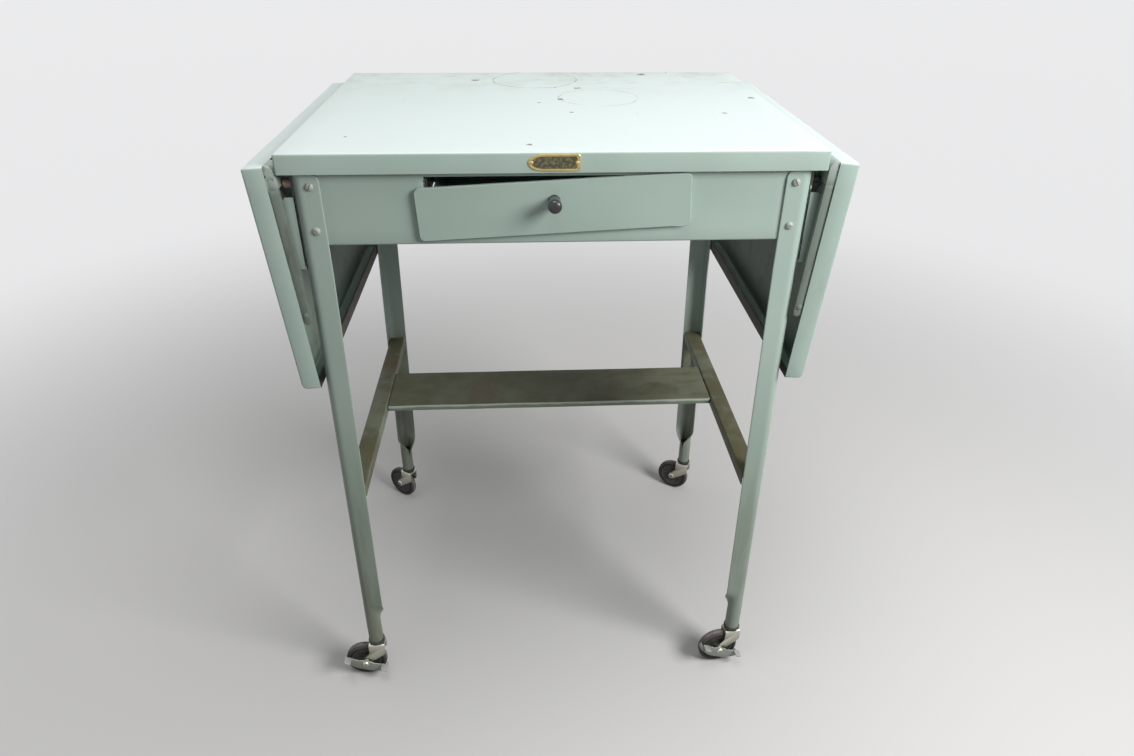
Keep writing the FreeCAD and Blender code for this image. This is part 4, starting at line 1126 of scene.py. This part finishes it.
def build_shelf():
    """Channel-shaped shelf: its top sags a little and its front lip wanders."""
    extent = Extent("shelf")
    top_from, lip_wander, sag = 297.0, 0.9, 0.5
    bm = folded_pan(extent.low, extent.high, size("fold"), 14.0)
    for vert in bm.verts:
        rear = (vert.co.y - extent.y0) / (extent.y1 - extent.y0)
        bend = 0.5 + 0.5 * wave((vert.co.x, 0, 0), 55.0, 9.0)
        vert.co.y += lip_wander * bend * (1 - rear)
        vert.co.z -= sag * (0.5 + 0.5 * wave(vert.co, 70.0, 2.0)) * (vert.co.z > top_from)
    finish_piece(bm, "shelf_pressing", "frame", grimy_enamel("shelf"), ["shelf"],
                 sheet=SHEET, rim=0.3)


# ---- Drawer ----

DRAWER_TILT = 2.9                           # it hangs low at the left
DRAWER_MIDDLE = at(-1.8, 0, 623.5)
FRONT_FACE = -188.5                         # y of the drawer's face, from the middle
FRONT_SIZE = Vector((245.0, 4.0, 48.5))
TRAY_HALF, TRAY_FLOOR, TRAY_RIM, TRAY_BACK = 108.0, -14.6, 16.4, 110.0
TRAY_EAR = 4.0                              # flange along a side's top, which slides in a runner
KNOB_UP = 6.5                               # the knob's height above the drawer's middle


def in_drawer(bm):
    """Puts a mesh drawn level about the drawer's middle at the drawer's slant."""
    turn(bm, -DRAWER_TILT, (0, 0, 0), Y)
    return move(bm, DRAWER_MIDDLE)


def build_drawer_front():
    half, plain_border = FRONT_SIZE / 2, 7.0
    bm = block((-half.x, FRONT_FACE, -half.z), (half.x, FRONT_FACE + FRONT_SIZE.y, half.z))
    bevel(bm, running(bm.edges, Y), 5.0, 6)
    bm.normal_update()
    face = [f for f in bm.faces if f.normal.y < -0.9][0]
    bevel(bm, face.edges, 1.2, 3)
    bm.normal_update()
    open_faces(bm, Y)
    slice_planes(bm, X, steps(plain_border - half.x, half.x - plain_border, size("pitch")))
    slice_planes(bm, Z, steps(plain_border - half.z, half.z - plain_border, 12.0))
    buckle(bm, 0.3, 90.0, 31.0, lambda vert: vert.normal.y < -0.99)
    finish_piece(in_drawer(bm), "drawer_front_pressing", "drawer", enamel(0.8),
                 ["drawer_front"], sheet=SHEET, rim=0.25)


def build_tray():
    bm = block((-TRAY_HALF, FRONT_FACE + SHEET, TRAY_FLOOR), (TRAY_HALF, TRAY_BACK, TRAY_RIM))
    open_faces(bm, Z)
    slice_planes(bm, Y, steps(FRONT_FACE, TRAY_BACK, 40.0))
    bevel(bm, folds(bm), 1.6, 3)
    for side in (-1, 1):
        edges = within(rims(bm), lambda co: co.x * side > TRAY_HALF - NEAR
                       and co.y > FRONT_FACE + 4.5)
        turn_rim(bm, edges, shift=(side * TRAY_EAR, 0, 0))
    finish_piece(in_drawer(bm), "drawer_tray_pressing", "drawer", enamel(0.4),
                 ["drawer_tray"], sheet=1.0, rim=0.25)


def build_knob():
    profile = [(0, 20.5), (2.4, 20.4), (4.2, 20.0), (5.3, 19.2), (6.0, 17.8), (6.25, 16.0),
               (6.1, 13.6), (5.8, 11.0), (5.5, 8.4), (5.3, 6.0), (5.2, 4.0), (5.2, 2.5),
               (5.3, 1.2), (5.5, 0.5), (5.5, 0.0), (2.1, 0.0), (2.1, 10.5), (0, 10.5)]
    knob = stand(lathe(profile, 64), (0, FRONT_FACE, KNOB_UP), -Y)
    finish_piece(in_drawer(knob), "drawer_knob_turned", "drawer",
                 black_moulding(), ["drawer_knob"])


# ---- Leaves, drawn level at the right and then turned down about the pivot line ----

LEAF_HANG = 94.0                            # degrees from level to hanging
LEAF_BACK, LEAF_REACH = 7.5, 213.5          # from the pivot inwards and outwards
LEAF_DEPTH = 18.4
LEAF_TOP = 673.0                            # height of a raised leaf's face
ARM_FRONT = -188.8                          # y of the front arms' faces, from the middle
ARM_RIVET = 134.0                           # from the pivot to the rivet in the arm
ARM_SHEET = 1.5
ARM_DEPTH = 8.0


def hang(bm, side):
    """Turns a level right-hand leaf piece down, moves it to the table and mirrors it."""
    turn(bm, LEAF_HANG, PIVOT, Y)
    move(bm, MIDDLE)
    return mirrored(bm) if side < 0 else bm


def leaf_mesh():
    """The pan, deeper at its outer edge, where its wall ends in a turned-in lip."""
    x0, x1 = PIVOT.x - LEAF_BACK, PIVOT.x + LEAF_REACH
    half, top, lip_width = 190.0, LEAF_TOP, 13.0
    rim, drop = top - LEAF_DEPTH, PIVOT.z - 1.8
    bm = block((x0, -half, rim), (x1, half, top))
    open_faces(bm, -Z)
    slice_planes(bm, X, steps(x0, x1, size("pitch")))
    slice_planes(bm, Y, steps(-half, half, size("pitch")))
    outer = within(folds(bm), lambda co: co.x > x1 - NEAR and co.z > top - NEAR)
    bevel(bm, outer, size("soft_fold"), 6)
    bm.normal_update()
    sharp = [e for e in folds(bm) if any(abs(v.co.y) > half - NEAR for v in e.verts)
             or all(v.co.x < x0 + NEAR for v in e.verts)]
    bevel(bm, sharp, size("fold"), 4)
    edges = within(rims(bm), lambda co: co.x > x1 - NEAR and abs(co.y) < half - 2.2)
    edges = turn_rim(bm, edges, shift=(0, 0, drop - rim))
    turn_rim(bm, within(edges, lambda co: co.z < drop + NEAR), shift=(-lip_width, 0, 0))
    bevel(bm, within(folds(bm), lambda co: abs(co.z - drop) < NEAR), 1.0, 2)

    def on_face(vert):
        return vert.co.z > top - NEAR and abs(vert.co.y) < half - 6
    return buckle(bm, size("buckle"), 110.0, 41.0, on_face)


def arm_mesh():
    """Front right arm: a light channel with a rounded tip and a square-toed cam."""
    y0, y1 = ARM_FRONT, ARM_FRONT + ARM_SHEET
    px, pz = PIVOT.x, PIVOT.z
    start, end, toe_end = px + 13, px + 144, px + 14
    tip_radius, flange, boss, cam_back = 4.0, 1.2, 5.9, -167.0
    tip = arc(end - tip_radius, pz - tip_radius, tip_radius, -90, 90, 8)
    strip = plate([(start, pz - ARM_DEPTH)] + tip + [(start, pz)], y0, y1, 0.7)
    walls = []
    for z in (pz - ARM_DEPTH, pz - flange):
        wall = block((toe_end, y0 + 0.4, z), (px + 124, y0 + 6.0, z + flange))
        walls.append(bevel(wall, wall.edges[:], 0.25, 1))
    lug = plate([(px, pz - 1), (toe_end, pz - 1), (toe_end, pz + 8.5), (start, pz + 9.5),
                 (px + 1, pz + 9.5), (px, pz + 8.5)], y0, y1, 0.25)
    toe = [(px, pz + boss)] + arc(px, pz, boss, 90, 180, 6)
    toe += arc(px, pz, ARM_DEPTH, 180, 270, 8)
    toe += [(start, pz - ARM_DEPTH), (toe_end, pz - 7.0), (toe_end, pz), (px + boss, pz)]
    toe += arc(px, pz, boss, 0, 75, 5)[1:]
    cam = plate(toe, y0 + 0.05, cam_back, 0.4)
    return merged(strip, lug, cam, *walls)


def tab_mesh():
    """Bracket under the leaf's front flange that the arm's outer end is riveted to."""
    back, rim = ARM_FRONT + ARM_SHEET, LEAF_TOP - LEAF_DEPTH
    a, b = PIVOT.x + ARM_RIVET - 8.0, PIVOT.x + ARM_RIVET + 8.0
    spacer = block((a, ARM_FRONT, rim + 0.6), (b, back + SHEET, rim + 7))
    tab = plate([(a + 2, PIVOT.z - 7), (b - 2, PIVOT.z - 7), (b, PIVOT.z - 5), (b, rim + 1),
                 (a, rim + 1), (a, PIVOT.z - 5)], back, back + SHEET, 0.25)
    return merged(bevel(spacer, spacer.edges[:], 0.4, 2), tab)


def arm_rivet_mesh():
    """Both domed heads of the rivet that holds an arm's outer end to its bracket."""
    radius = 1.5
    x, z = PIVOT.x + ARM_RIVET, PIVOT.z - 3.6
    heads = []
    for y, along in ((ARM_FRONT, -Y), (ARM_FRONT + ARM_SHEET + SHEET, Y)):
        heads.append(stand(lathe(dome(radius * 1.9, 1.0, 0.8), 24), (x, y, z), along))
    return merged(*heads)


def hinge_pin_mesh():
    """Pivot pin with a head at its inner end, behind the bracket's ear."""
    pin = lathe([(0, 24.7), (3.4, 24.7), (4.1, 24.1), (4.1, 23.1), (2.5, 22.9), (2.5, 0.4),
                 (2.1, 0), (0, 0)], 32)
    return stand(pin, (PIVOT.x, ARM_FRONT, PIVOT.z), Y)


def build_leaves():
    for name, side in (("left", -1), ("right", 1)):
        body = "leaf_" + name
        finish_piece(hang(leaf_mesh(), side), f"{body}_pressing", body,
                     leaf_enamel(side), [body], sheet=SHEET, rim=size("rim"))
        finish_piece(hang(both_ends(tab_mesh()), side), f"{body}_tabs", body,
                     leaf_enamel(side))
        for mesh, piece, material, node in (
                (arm_mesh(), "arms_{}_formed", arm_finish(), "leaf_arms_"),
                (arm_rivet_mesh(), "arm_rivet_heads_{}", arm_finish(), "arm_rivets_"),
                (hinge_pin_mesh(), "hinge_pin_pair_{}", dull_steel("pins"), "hinge_pins_")):
            finish_piece(hang(both_ends(mesh), side), piece.format(name), body,
                         material, [node + name])


# ---- Hinge brackets and latches ----

BRACKET_BOTTOM, BRACKET_TOP = 565.0, 652.0
BRACKET_RIVETS = 600.0, 620.0
BOLT_Y, BOLT_DROP = -173.0, 11.8            # the bolt runs this far below the pivot


def bracket_mesh():
    """Front right bracket: channel on the leg's side with the pivot's ear at its back."""
    x0, low, top = LEG_CORNER, BRACKET_BOTTOM, BRACKET_TOP
    cut_at, front, ear = 633.0, -181.0, -166.0
    back = ear + LEG_SHEET
    base = plate([(front, low + 3), (front + 3, low), (ear - 1.5, low), (back, low + 3),
                  (back, top), (front, top)], 0, LEG_SHEET, 0.25)
    turn(base, 90, (0, 0, 0), Z)
    move(base, (x0 + LEG_SHEET, 0, 0))
    web = plate([(x0, low), (x0 + 9.7, low), (x0 + 11.7, low + 2), (x0 + 11.7, cut_at - 4),
                 (x0 + 8.7, cut_at), (x0, cut_at)], front, front + LEG_SHEET, 0.3)
    px, pz = PIVOT.x, PIVOT.z
    outline = [(x0, low + 40), (px + 3.2, pz - 4.7)] + arc(px, pz, 5.7, -50, 90, 8)
    outline += [(px - 2, pz + 5.5), (px - 6, top + 2), (x0, top)]
    return merged(base, web, plate(outline, ear, back, 0.3))


def build_brackets():
    pair = move(both_ends(bracket_mesh()), MIDDLE)
    finish_piece(merged(mirrored(pair), pair), "hinge_bracket_set", "frame",
                 enamel(1.4), ["hinge_brackets"])
    heads = []
    for z in BRACKET_RIVETS:
        for y in (BOLT_Y, -BOLT_Y):
            for x, along in ((LEG_CORNER + LEG_SHEET, X), (LEG_CORNER - 2.7, -X)):
                heads.append(stand(lathe(dome(3.4, 1.2, 0.8), 24), at(x, y, z), along))
    heads = merged(*heads)
    finish_piece(merged(mirrored(heads), heads), "bracket_rivet_heads", "frame",
                 dull_steel("rivets"), ["bracket_rivets"])


def build_latches():
    """Each bolt is a turned bar with a collar, and a finger that hangs from its inner end."""
    z = PIVOT.z - BOLT_DROP
    for name, side in (("left", -1), ("right", 1)):
        bar = lathe([(0, 239.7), (2.0, 239.6), (2.9, 239.3), (3.4, 238.6), (3.5, 237.8),
                     (3.5, 208.5), (5.4, 208.5), (5.8, 208.1), (5.8, 205.9), (5.4, 205.5),
                     (3.5, 205.5), (3.5, 166.6), (3.0, 166), (0, 166)], 40)
        finger = lathe([(0, 22), (1.7, 21.8), (2.3, 21.2), (2.4, 20.4), (2.4, 0), (0, 0)], 28)
        whole = merged(stand(bar, (0, BOLT_Y, z), X), stand(finger, (169.0, BOLT_Y, z), -Z))
        move(whole, MIDDLE)
        finish_piece(mirrored(whole) if side < 0 else whole, f"latch_bar_{name}",
                     "latch_" + name, rusty_steel() if side < 0 else dark_steel(),
                     [f"latch_bolt_{name}"])


# ---- Casters, drawn at the origin: they trail towards -X, brake side towards -Y ----

CASTER_YAW = {"front_left": 0.0, "front_right": -8.0, "rear_left": 36.0, "rear_right": 31.0}
ROCKER_TILT = {"front_left": 19.0, "front_right": 24.0}
TRAIL, WHEEL_RADIUS = 16.0, 25.5            # how far the axle is behind the swivel, and up
CROWN_TOP = 55.5
CHEEK_INNER, CHEEK_OUTER = 6.0, 7.8         # faces of the fork's cheeks, from its middle


def place_caster(bm, corner):
    turn(bm, -CASTER_YAW[corner], (0, 0, 0), Z)
    stem = joint_place(f"caster_{corner}_swivel")
    return move(bm, (stem.x, stem.y, 0))


def crown_mesh():
    """The strip's flat top, rounded where it turns down into the cheeks."""
    bm = block((-10, -CHEEK_OUTER, 52.1), (10, CHEEK_OUTER, CROWN_TOP))
    bevel(bm, running(within(bm.edges, lambda co: co.z > CROWN_TOP - NEAR), X), 2.2, 4)
    bm.normal_update()
    return bevel(bm, folds(bm, 50), 0.5, 2)


def cheek_mesh(side):
    """A cheek that narrows to the axle."""
    outline = [(-10, 53), (-10, 41.5), (-10.8, 39.5), (-19.2, 30.0), (-20.4, 27.8),
               (-20.9, 25.5), (-20.6, 23.4), (-19.4, 21.4), (-17.4, 20.5), (-15.2, 20.5),
               (-13.2, 21.5), (7.6, 37.5), (9.6, 40.2), (10, 43), (10, 53)]
    y0, y1 = sorted((side * CHEEK_INNER, side * CHEEK_OUTER))
    return plate(outline, y0, y1, 0.35)


def both_halves(half):
    """A wheel's closed profile from the half below its middle plane."""
    return half + [(r, -h) for r, h in reversed(half)] + half[:1]


def wheel_rings():
    """Tyre with a step in its sides, and a dished hub with a boss."""
    tyre = lathe(both_halves([(17.0, -3.7), (17.9, -4.1), (19.2, -4.5), (19.7, -4.1),
                              (20.6, -4.1), (21.1, -4.6), (22.6, -4.75), (23.8, -4.5),
                              (24.8, -3.7), (25.35, -2.6), (WHEEL_RADIUS, -1.2)]), 72)
    hub = lathe(both_halves([(3.1, -5.6), (5.6, -5.6), (6.0, -5.2), (6.1, -3.6), (7.0, -2.9),
                             (12.0, -2.7), (14.0, -3.0), (15.0, -3.6), (17.0, -3.75)]), 56)
    tread_half, tread_from = 3.0, 25.0
    for face in tyre.faces:
        middle = face.calc_center_median()
        on_tread = abs(middle.z) < tread_half and middle.xy.length > tread_from
        face.material_index = 1 if on_tread else 0
    for ring in (tyre, hub):
        stand(ring, (-TRAIL, 0, WHEEL_RADIUS), Y)
    return tyre, hub


def rocker_mesh(tilt):
    """Brake rocker: a shaped bar, a pad to press at each end and a shoe under each pad."""
    end, inner, outer = 27.6, -9.7, -11.2
    pad_long, pad_out, shoe_thick = 8.5, 9.0, 1.4
    outline = [(-end, -1.8), (-24.5, -4.8), (-19, -7.4), (-13, -9.5), (-7, -10.4), (7, -10.4),
               (13, -9.5), (19, -7.4), (24.5, -4.8), (end, -1.8), (end, 4.9), (21, 4.4),
               (10, 3.3), (5.5, 4.7), (-5.5, 4.7), (-10, 3.3), (-21, 4.4), (-end, 4.9)]
    pieces = [plate(outline, outer, inner, 0.3)]
    for side in (-1, 1):
        a, b = sorted((side * end, side * (end - pad_long)))
        pad = block((a, outer - pad_out, 3.5), (b, inner, 5.0))
        bevel(pad, running(within(pad.edges, lambda co: co.y < outer - 4), Z), 2.4, 4)
        pad.normal_update()
        pieces.append(bevel(pad, folds(pad, 50), 0.4, 2))
        a, b = sorted((side * end, side * (end - shoe_thick)))
        shoe = block((a, outer, -3.5), (b, -2.5, 1.0))
        pieces.append(bevel(shoe, shoe.edges[:], 0.35, 2))
    whole = turn(merged(*pieces), tilt, (0, 0, 0), Y)
    return move(whole, (-TRAIL, 0, WHEEL_RADIUS))


def fixings_mesh(braked):
    """Race, stem and washer on the swivel's line, and heads on the axle's ends."""
    pieces = [
        lathe([(0, 56.8), (6.2, 56.8), (6.9, 56.5), (7.0, 55.9), (6.8, 55.4), (0, 55.4)], 40),
        lathe([(0, 95.5), (3.2, 95.5), (4.0, 94.5), (4.0, 56.0), (0, 56.0)], 24),
        lathe([(0, 52.2), (4.9, 52.2), (4.9, 51.5), (0, 51.4)], 32)]
    for side in (-1, 1):
        head = lathe([(0, 1.5), (1.2, 1.45), (2.6, 1.2), (3.8, 0.8), (4.6, 0.0), (3.0, -0.2),
                      (3.0, -7.7), (0, -7.7)], 40)
        pieces.append(stand(head, (-TRAIL, side * CHEEK_OUTER, WHEEL_RADIUS), Y * side))
    if braked:
        stud = lathe([(0, 1.8), (1.9, 1.7), (3.3, 1.2), (4.2, 0.0), (2.2, -0.2), (2.2, -5.5),
                      (0, -5.5)], 32)
        pieces.append(stand(stud, (-TRAIL, -11.5, WHEEL_RADIUS), -Y))
    return merged(*pieces)


def build_caster(corner):
    """One caster but for its socket: fork, turned parts, brake if it has one, tyre and hub."""
    def finish_part(bm, piece, body, material, node):
        return finish_piece(place_caster(bm, corner), piece + corner, body + corner,
                            material, [node + corner])

    fork = merged(crown_mesh(), cheek_mesh(-1), cheek_mesh(1))
    finish_part(fork, "fork_pressing_", "caster_", nickel_plate(), "caster_fork_")
    if corner in ROCKER_TILT:
        finish_part(rocker_mesh(ROCKER_TILT[corner]), "rocker_pressing_", "brake_",
                    rocker_paint(), "brake_rocker_")
    finish_part(fixings_mesh(corner in ROCKER_TILT), "caster_turned_parts_", "caster_",
                nickel_plate(), "caster_fixings_")
    tyre, hub = wheel_rings()
    piece = finish_part(tyre, "tyre_moulding_", "wheel_", tyre_rubber(), "wheel_tyre_")
    piece.data.materials.append(tread_rubber())
    finish_part(hub, "hub_moulding_", "wheel_", dark_steel(), "wheel_hub_")


def socket_mesh():
    """Sleeve in a leg's end with a collar below it."""
    return lathe([(4.06, 57.3), (9.4, 57.3), (9.9, 57.7), (10.0, 58.2), (10.0, 60.6),
                  (9.7, 61.2), (9.0, 61.5), (7.25, 61.5), (7.25, 98.0), (6.6, 99.0),
                  (4.06, 99.5), (4.06, 57.3)], 48)


def build_casters():
    for corner in CORNERS:
        build_caster(corner)
    sockets = merged(*(place_caster(socket_mesh(), corner) for corner in CORNERS))
    finish_piece(sockets, "socket_set", "frame", dark_steel(), ["caster_sockets"])


# ---- Pieces kept from the CAD model ----

def kept_finishes():
    """The CAD nodes that no piece replaces, each with its finish."""
    return {"drawer_runner_left": enamel(0.4), "drawer_runner_right": enamel(0.4),
            "latch_springs": rusty_steel(), "leg_nuts": dull_steel("fittings"),
            "latch_guides": dull_steel("fittings"), "knob_screw": dull_steel("fittings"),
            "shelf_rivets": dull_steel("rivets")}


def dress_kept_nodes():
    for node, material in kept_finishes().items():
        for kept in frame["nodes"][node].material_slots:
            kept.link = "OBJECT"
            kept.material = material


# ---- Stage ----

CAMERA_PLACE = Vector((-29.0, -849.6, 848.65))
CAMERA_PITCH, CAMERA_YAW, CAMERA_ROLL = 31.2746, 3.4141, 0.4849
LENS = 24.39
FLOOR_HALF = 14.0                           # metres
WORLD_ON_TABLE, WORLD_SEEN = 0.225, 0.92
LAMPS = (("overhead", (-0.05, -0.15, 2.1), (0.0, 0.0, 0.6), 1.2, 13.5),
         ("front_right", (1.05, -0.85, 1.25), (0.2, -0.1, 0.55), 0.7, 22.5))


def floor_finish():
    """Plain pale floor that goes to white far off; the table itself is lit by a plain grey one."""
    finish = Finish("pale_floor", Roughness=0.9, Specular_IOR_Level=0.1, Emission_Strength=1.0)
    seen = finish.seen()
    far = finish.reach().above(0.25, 1.9) * seen
    near = finish.blend((0.30, 0.30, 0.29), (0.66, 0.65, 0.635), seen)
    finish.feed(finish.shader.inputs["Emission Color"],
                finish.blend((0, 0, 0), (0.80, 0.80, 0.81), far))
    return finish.close(finish.blend(near, (0, 0, 0), far))


def build_floor():
    bm = bmesh.new()
    bmesh.ops.create_grid(bm, x_segments=1, y_segments=1, size=FLOOR_HALF)
    mesh = to_data(bm, "floor")
    mesh.materials.append(floor_finish())
    in_scene("floor", mesh)


def soft_light(name, place, aim, width, power):
    light = bpy.data.lights.new(name, "AREA")
    light.shape = "DISK"
    light.size = width
    light.energy = power
    lamp = in_scene(name, light)
    lamp.location = place
    ahead = Vector(aim) - Vector(place)
    lamp.rotation_euler = ahead.to_track_quat("-Z", "Y").to_euler()


def build_world():
    """Near-white where it is seen, and dimmer as a light on the table."""
    world = bpy.data.worlds.new("studio")
    world.use_nodes = True
    bpy.context.scene.world = world
    nodes = Nodes(world.node_tree)
    glow = nodes.tree.nodes["Background"]
    level = nodes.node("MapRange", {}, {0: nodes.seen(), 3: WORLD_ON_TABLE, 4: WORLD_SEEN})
    nodes.feed(glow.inputs[0], (0.97, 0.985, 1.0))
    nodes.feed(glow.inputs[1], level)


def build_camera():
    pitch, yaw, roll = (math.radians(a) for a in (CAMERA_PITCH, CAMERA_YAW, CAMERA_ROLL))
    ahead = Vector((math.sin(yaw) * math.cos(pitch), math.cos(yaw) * math.cos(pitch),
                    -math.sin(pitch)))
    right = Vector((math.cos(yaw), -math.sin(yaw), 0))
    up = right.cross(ahead)
    across = right * math.cos(roll) + up * math.sin(roll)
    upright = up * math.cos(roll) - right * math.sin(roll)
    turned = Matrix((across, upright, -ahead)).transposed().to_4x4()
    lens = bpy.data.cameras.new("camera")
    lens.lens = LENS
    lens.sensor_width = 36.0
    lens.clip_start = 0.01
    camera = in_scene("camera", lens)
    camera.matrix_world = Matrix.Translation((CAMERA_PLACE + MIDDLE) * MM) @ turned
    bpy.context.scene.camera = camera


def build_stage():
    build_floor()
    build_world()
    for lamp in LAMPS:
        soft_light(*lamp)
    build_camera()
    bpy.context.scene.view_settings.view_transform = "Standard"


# ---- Add-on ----

class BuildStep:
    """Shared by the operators below: each runs its own builders in turn."""

    bl_options = {"REGISTER", "UNDO"}
    builders = ()

    def execute(self, context):
        for build in self.builders:
            build()
        return {"FINISHED"}


class TABLE_OT_top(BuildStep, bpy.types.Operator):
    """Build the pressed top and its badge"""

    bl_idname = "table.top"
    bl_label = "Top and badge"
    builders = (build_top, build_badge)


class TABLE_OT_aprons(BuildStep, bpy.types.Operator):
    """Build the four sheet aprons"""

    bl_idname = "table.aprons"
    bl_label = "Aprons"
    builders = (build_aprons,)


class TABLE_OT_legs(BuildStep, bpy.types.Operator):
    """Build the folded legs and their screws"""

    bl_idname = "table.legs"
    bl_label = "Legs"
    builders = (build_legs, build_leg_screws)


class TABLE_OT_shelf(BuildStep, bpy.types.Operator):
    """Build the side rails and the shelf"""

    bl_idname = "table.shelf"
    bl_label = "Rails and shelf"
    builders = (build_rails, build_rail_rivets, build_shelf)


class TABLE_OT_drawer(BuildStep, bpy.types.Operator):
    """Build the drawer's front, tray and knob"""

    bl_idname = "table.drawer"
    bl_label = "Drawer"
    builders = (build_drawer_front, build_tray, build_knob)


class TABLE_OT_leaves(BuildStep, bpy.types.Operator):
    """Build both leaves with their arms, rivets and pins"""

    bl_idname = "table.leaves"
    bl_label = "Leaves"
    builders = (build_leaves,)


class TABLE_OT_hinges(BuildStep, bpy.types.Operator):
    """Build the hinge brackets and the latch bolts"""

    bl_idname = "table.hinges"
    bl_label = "Hinge brackets and latches"
    builders = (build_brackets, build_latches)


class TABLE_OT_casters(BuildStep, bpy.types.Operator):
    """Build the casters, their brakes and their sockets"""

    bl_idname = "table.casters"
    bl_label = "Casters"
    builders = (build_casters,)


class TABLE_OT_kept(BuildStep, bpy.types.Operator):
    """Give finishes to the pieces kept from the CAD model"""

    bl_idname = "table.kept"
    bl_label = "Kept pieces"
    builders = (dress_kept_nodes,)


class TABLE_OT_stage(BuildStep, bpy.types.Operator):
    """Set the floor, the lights and the camera"""

    bl_idname = "table.stage"
    bl_label = "Stage"
    builders = (build_stage,)


STEPS = (TABLE_OT_top, TABLE_OT_aprons, TABLE_OT_legs, TABLE_OT_shelf, TABLE_OT_drawer,
         TABLE_OT_leaves, TABLE_OT_hinges, TABLE_OT_casters, TABLE_OT_kept, TABLE_OT_stage)


class TABLE_PT_panel(bpy.types.Panel):
    """Sizes, colours and the building steps"""

    bl_idname = "TABLE_PT_panel"
    bl_label = "Typewriter table"
    bl_space_type = "VIEW_3D"
    bl_region_type = "UI"
    bl_category = "Typewriter table"

    def draw(self, context):
        for group in (context.scene.table_sizes, context.scene.table_paint):
            box = self.layout.box()
            for name in group.__annotations__:
                box.prop(group, name)
        for step in STEPS:
            self.layout.operator(step.bl_idname)


CLASSES = (TablePaint, TableSizes, *STEPS, TABLE_PT_panel)


def register():
    for cls in CLASSES:
        bpy.utils.register_class(cls)
    bpy.types.Scene.table_paint = bpy.props.PointerProperty(type=TablePaint)
    bpy.types.Scene.table_sizes = bpy.props.PointerProperty(type=TableSizes)


def unregister():
    del bpy.types.Scene.table_sizes
    del bpy.types.Scene.table_paint
    for cls in reversed(CLASSES):
        bpy.utils.unregister_class(cls)


def main():
    register()
    for step in STEPS:
        group, name = step.bl_idname.split(".")
        result = getattr(getattr(bpy.ops, group), name)()
        if result != {"FINISHED"}:
            raise RuntimeError(f"{step.bl_idname} did not finish")


if __name__ == "__main__":
    main()
